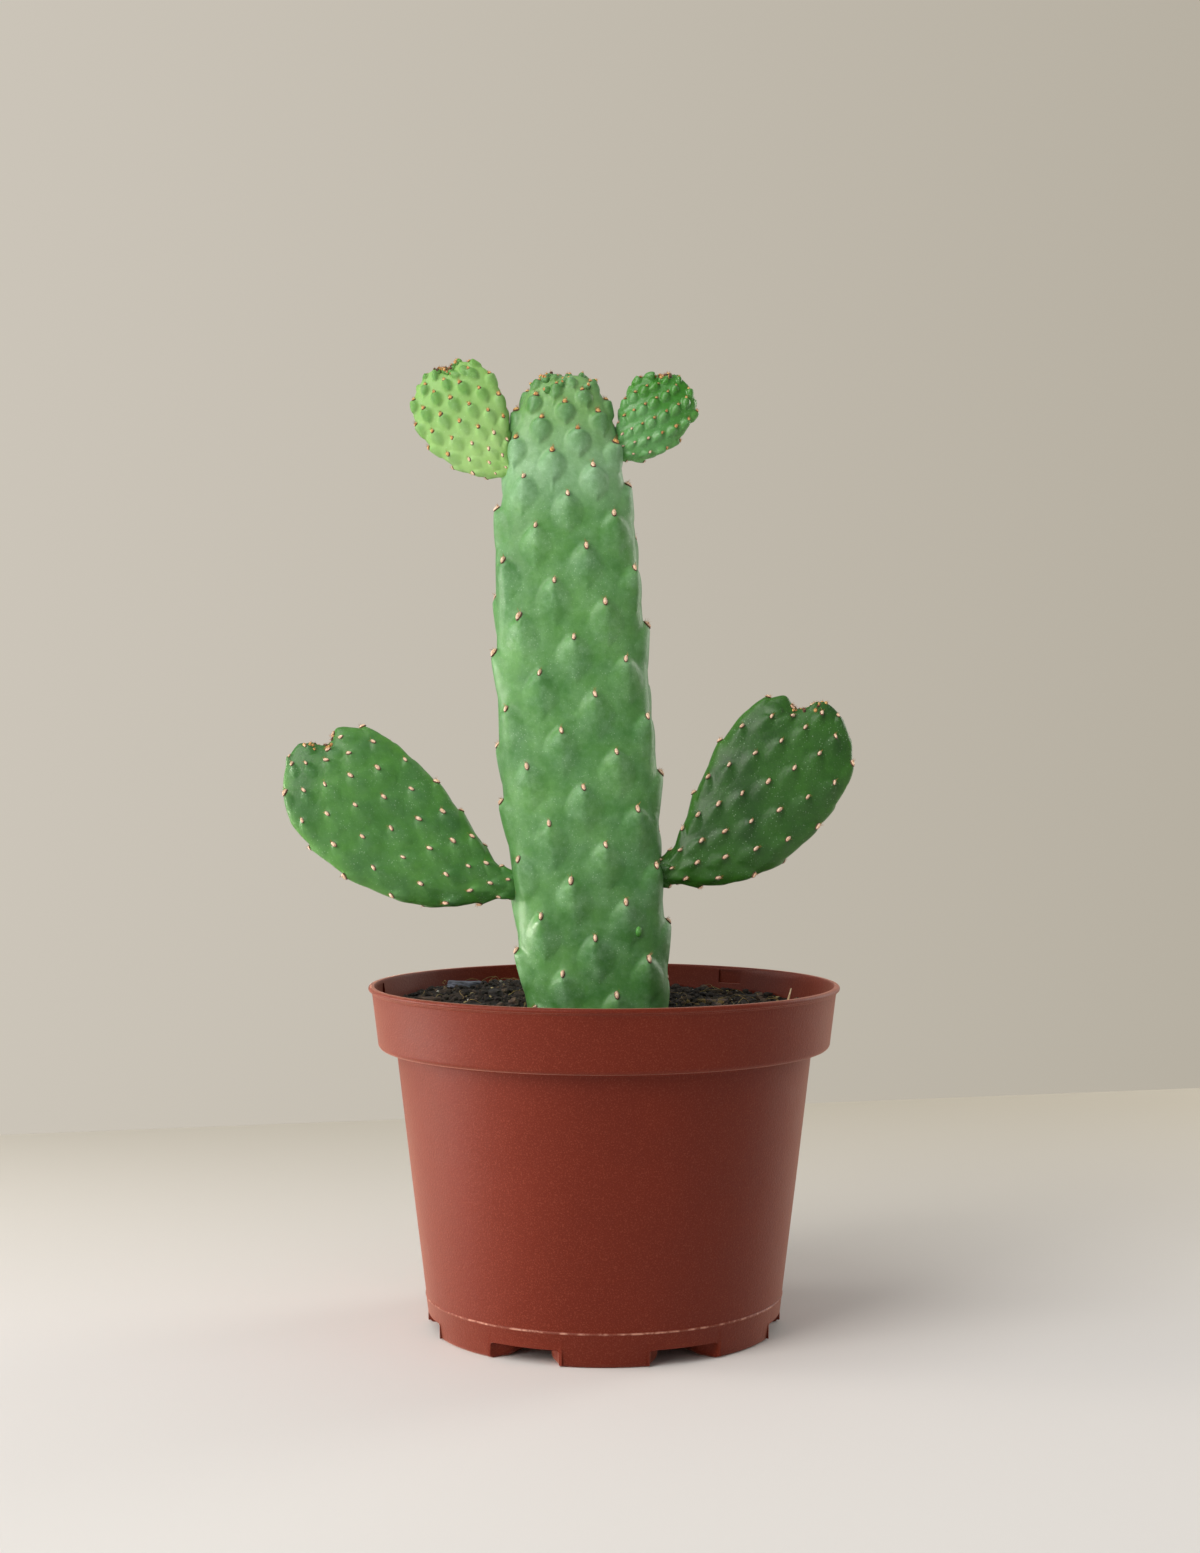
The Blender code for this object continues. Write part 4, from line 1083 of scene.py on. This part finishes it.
def make_fibres():
    """Peat fibres, as bent threads a tenth of a millimetre thick, drawn at twice that."""
    chance = random.Random(25)
    curve = bpy.data.curves.new("fibres", "CURVE")
    curve.dimensions = "3D"
    curve.bevel_depth = 0.00011
    curve.bevel_resolution = 0
    curve.use_fill_caps = True
    for _ in range(150):
        radius = 0.068 * math.sqrt(chance.random())
        angle = chance.uniform(0, math.tau)
        heading = chance.uniform(0, math.tau)
        x, y = radius * math.cos(angle), radius * math.sin(angle)
        count = chance.randint(5, 9)
        spline = curve.splines.new("POLY")
        spline.points.add(count - 1)
        for i, point in enumerate(spline.points):
            arch = 0.0012 * math.sin(math.pi * i / (count - 1))
            height = mix_height(x, y) + 0.0009 + arch
            point.co = (x, y, height, 1)
            point.radius = 1 - 0.5 * i / count
            heading += chance.uniform(-0.5, 0.5)
            x += 0.0012 * math.cos(heading)
            y += 0.0012 * math.sin(heading)
            if math.hypot(x, y) > 0.070:
                x, y = x * 0.97, y * 0.97
    source = bpy.data.objects.new("fibres", curve)
    bpy.context.scene.collection.objects.link(source)
    graph = bpy.context.evaluated_depsgraph_get()
    mesh = bpy.data.meshes.new_from_object(source.evaluated_get(graph))
    bpy.data.objects.remove(source)
    shape = bmesh.new()
    shape.from_mesh(mesh)
    bmesh.ops.remove_doubles(shape, verts=shape.verts, dist=1e-6)
    finish("peat_fibres", shape, loose_matter("dry_fibre", "#6d5a34", "#b39a5e", 500),
           smooth_angle=60)


make_fibres()

straw = bmesh.new()
bmesh.ops.create_cone(
    straw, cap_ends=True, segments=8, radius1=0.0005, radius2=0.0002, depth=0.0062,
    matrix=Matrix.Translation((0.0605, 0.016, 0.1018)) @ Matrix.Rotation(0.25, 4, "Y"),
)
finish("straw_sliver", straw, loose_matter("dry_straw", "#c9a982", "#e8d3b0", 600),
       smooth_angle=40)


# ---- bark chips
# Composted pine bark, broken along its layers into flat splinters, which lie loose on the mix.
# The one that has dried is grey-blue, and the damp ones are brown.


def composted_bark(name, dark, light):
    """Weathered bark, matt, with its layers showing as fine lines along its length."""
    material, tree, shader = new_material(name)
    place = add(tree, "TexCoord").outputs["Object"]
    stretched = add(tree, "Mapping", values={"Scale": (1, 1, 5)}, links={0: place})
    layers = add(tree, "TexNoise", values={"Scale": 420, "Detail": 4},
                 links={"Vector": stretched.outputs[0]})
    tint = two_tone(tree, layers.outputs["Fac"], dark, light, 0.38, 0.66)
    bump = add(tree, "Bump", values={"Strength": 0.7, "Distance": 0.0005},
               links={"Height": layers.outputs["Fac"]})
    plug(tree, shader, {"Roughness": 0.8}, {"Base Color": tint, "Normal": bump.outputs[0]})
    return material


BARKS = (
    composted_bark("grey_bark", "#2c2e37", "#737888"),
    composted_bark("brown_bark", "#231a15", "#5c4636"),
    composted_bark("dark_bark", "#151312", "#3b342f"),
)
chip_nodes = sorted(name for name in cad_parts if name.startswith("bark_chip"))
for number, node_name in enumerate(chip_nodes):
    low, high = (Vector(corner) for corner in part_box(node_name))
    middle, size = (low + high) / 2, high - low
    chance = random.Random(50 + number)
    chip = bmesh.new()
    bmesh.ops.create_cube(chip, size=1)
    bmesh.ops.subdivide_edges(chip, edges=chip.edges[:], cuts=7, use_grid_fill=True)
    shift = Vector((chance.uniform(0, 9), chance.uniform(0, 9), chance.uniform(0, 9)))
    for vertex in chip.verts:
        x, y, z = vertex.co
        taper = 1 - 0.75 * abs(2 * x) ** 2.2
        y *= taper * (1 + 0.25 * noise.noise(Vector((x * 3, 0, 0)) + shift))
        x *= 1 - 0.12 * abs(2 * y)
        z *= 1 - 0.35 * abs(2 * y) ** 2
        wear = Vector((x, y, z)) * 5 + shift
        grooves = 0.07 * noise.noise(Vector((x * 2, y * 16, z * 3)) + shift)
        vertex.co = Vector((x, y, z + grooves + 0.10 * math.cos(math.pi * y))) + Vector(
            noise.noise_vector(wear)
        ) * 0.05
    long, wide = max(size.x, size.y), min(size.x, size.y)
    yaw = 0 if size.x >= size.y else math.pi / 2
    bmesh.ops.scale(chip, vec=(long * 0.9, wide * 0.7, size.z * 0.7), verts=chip.verts)
    middle.z = mix_height(middle.x, middle.y) + size.z * 0.30
    bmesh.ops.rotate(
        chip, verts=chip.verts, cent=(0, 0, 0),
        matrix=Matrix.Rotation(yaw + chance.uniform(-0.4, 0.4), 3, "Z"),
    )
    bmesh.ops.translate(chip, verts=chip.verts, vec=middle)
    bark = BARKS[0 if number == 0 else 1 + number % 2]
    finish(f"splinter_{number + 1:02d}", chip, bark, [node_name], smooth_angle=50)


# ---- stage, light and camera
# A pale table top that ends before a plain wall, a broad soft light from the left and a smaller
# one behind on the right.


def painted_board():
    """Board under matt white paint: plain and dull, with painted shade that greys it towards its
    back edge, away from the lamps.
    """
    material, tree, shader = new_material("painted_board")
    place = add(tree, "TexCoord").outputs["Object"]
    cloud = add(tree, "TexNoise", values={"Scale": 3}, links={"Vector": place})
    paint_tint = two_tone(tree, cloud.outputs["Fac"], "#e2e0de", "#e6e4e2")
    parts = add(tree, "SeparateXYZ", links={0: place})
    # painted shade: the board greys towards its back, away from the lamps
    back = add(tree, "MapRange", values={1: -0.05, 2: 0.45}, links={0: parts.outputs["Y"]})
    shaded_towards_back = add(tree, "Mix", {"data_type": "RGBA"}, {7: linear("#d2cbbb")},
                {0: back.outputs[0], 6: paint_tint})
    plug(tree, shader, {"Roughness": 0.7}, {"Base Color": shaded_towards_back.outputs[2]})
    return material


TABLE_REACH = 2.5
TABLE_DEPTH = 0.425
BACK_SLANT = 0.248
table = bmesh.new()
bmesh.ops.create_grid(table, x_segments=1, y_segments=1, size=TABLE_REACH)
for corner in table.verts:
    if corner.co.y > 0:
        corner.co.y = TABLE_DEPTH + BACK_SLANT * corner.co.x
table_mesh = bpy.data.meshes.new("table")
table.to_mesh(table_mesh)
table.free()
table_mesh.materials.append(painted_board())
table_top = bpy.data.objects.new("table", table_mesh)
bpy.context.scene.collection.objects.link(table_top)


def area_light(name, place, target, size, watts, colour, spread_deg=180):
    """A soft panel at a place, turned to face its target."""
    lamp = bpy.data.lights.new(name, "AREA")
    lamp.shape = "RECTANGLE"
    lamp.size, lamp.size_y = size
    lamp.spread = math.radians(spread_deg)
    lamp.energy = watts
    lamp.color = linear(colour)[:3]
    holder = bpy.data.objects.new(name, lamp)
    holder.location = place
    holder.rotation_euler = (Vector(target) - Vector(place)).to_track_quat("-Z", "Y").to_euler()
    bpy.context.scene.collection.objects.link(holder)


area_light("window", (-0.98, -0.93, 0.72), (0, 0, 0.12), (0.8, 0.8), 11.5, "#fffaf3")
area_light("overhead", (-0.55, -0.55, 1.15), (0, 0, 0.15), (0.9, 0.9), 6, "#fffdfa")
area_light("side_panel", (-1.2, 0.15, 0.24), (0, 0, 0.18), (0.9, 0.5), 3, "#fffdfa")
area_light("low_panel", (-0.9, 0.10, 0.08), (0, 0, 0.045), (0.5, 0.10), 0.5, "#fff6ee", 36)
area_light("rim", (0.9, 0.6, 0.42), (0, 0, 0.12), (0.4, 0.7), 4, "#fffaf3")

# the wall is seen behind the table, with painted shade that darkens it from left to right, away
# from the light on the left, and a paler, dimmer room lights the plant
world = bpy.data.worlds.new("studio")
bpy.context.scene.world = world
world.use_nodes = True
air = world.node_tree
air.nodes.clear()
direction = add(air, "TexCoord").outputs["Generated"]
split = add(air, "SeparateXYZ", links={0: direction})
# painted shade on the wall: lighter on the left, darker on the right
wall = two_tone(air, split.outputs["X"], "#ccc5b9", "#b6afa1", -0.28, 0.28)
seen = add(air, "Background", values={"Strength": 1.0}, links={0: wall})
lit = add(air, "Background", values={0: linear("#f2efea"), "Strength": 0.42})
rays = add(air, "LightPath")
both = add(air, "MixShader", links={0: rays.outputs["Is Camera Ray"], 1: lit.outputs[0],
                                    2: seen.outputs[0]})
add(air, "OutputWorld", links={0: both.outputs[0]})

camera_data = bpy.data.cameras.new("camera")
camera_data.lens = 50.16
camera_data.sensor_width = 36
camera = bpy.data.objects.new("camera", camera_data)
camera.location = (-0.0013, -0.6917, 0.1762)
camera.rotation_euler = (math.radians(90 - 0.172), 0, 0)
bpy.context.scene.collection.objects.link(camera)
bpy.context.scene.camera = camera
bpy.context.scene.view_settings.view_transform = "Standard"
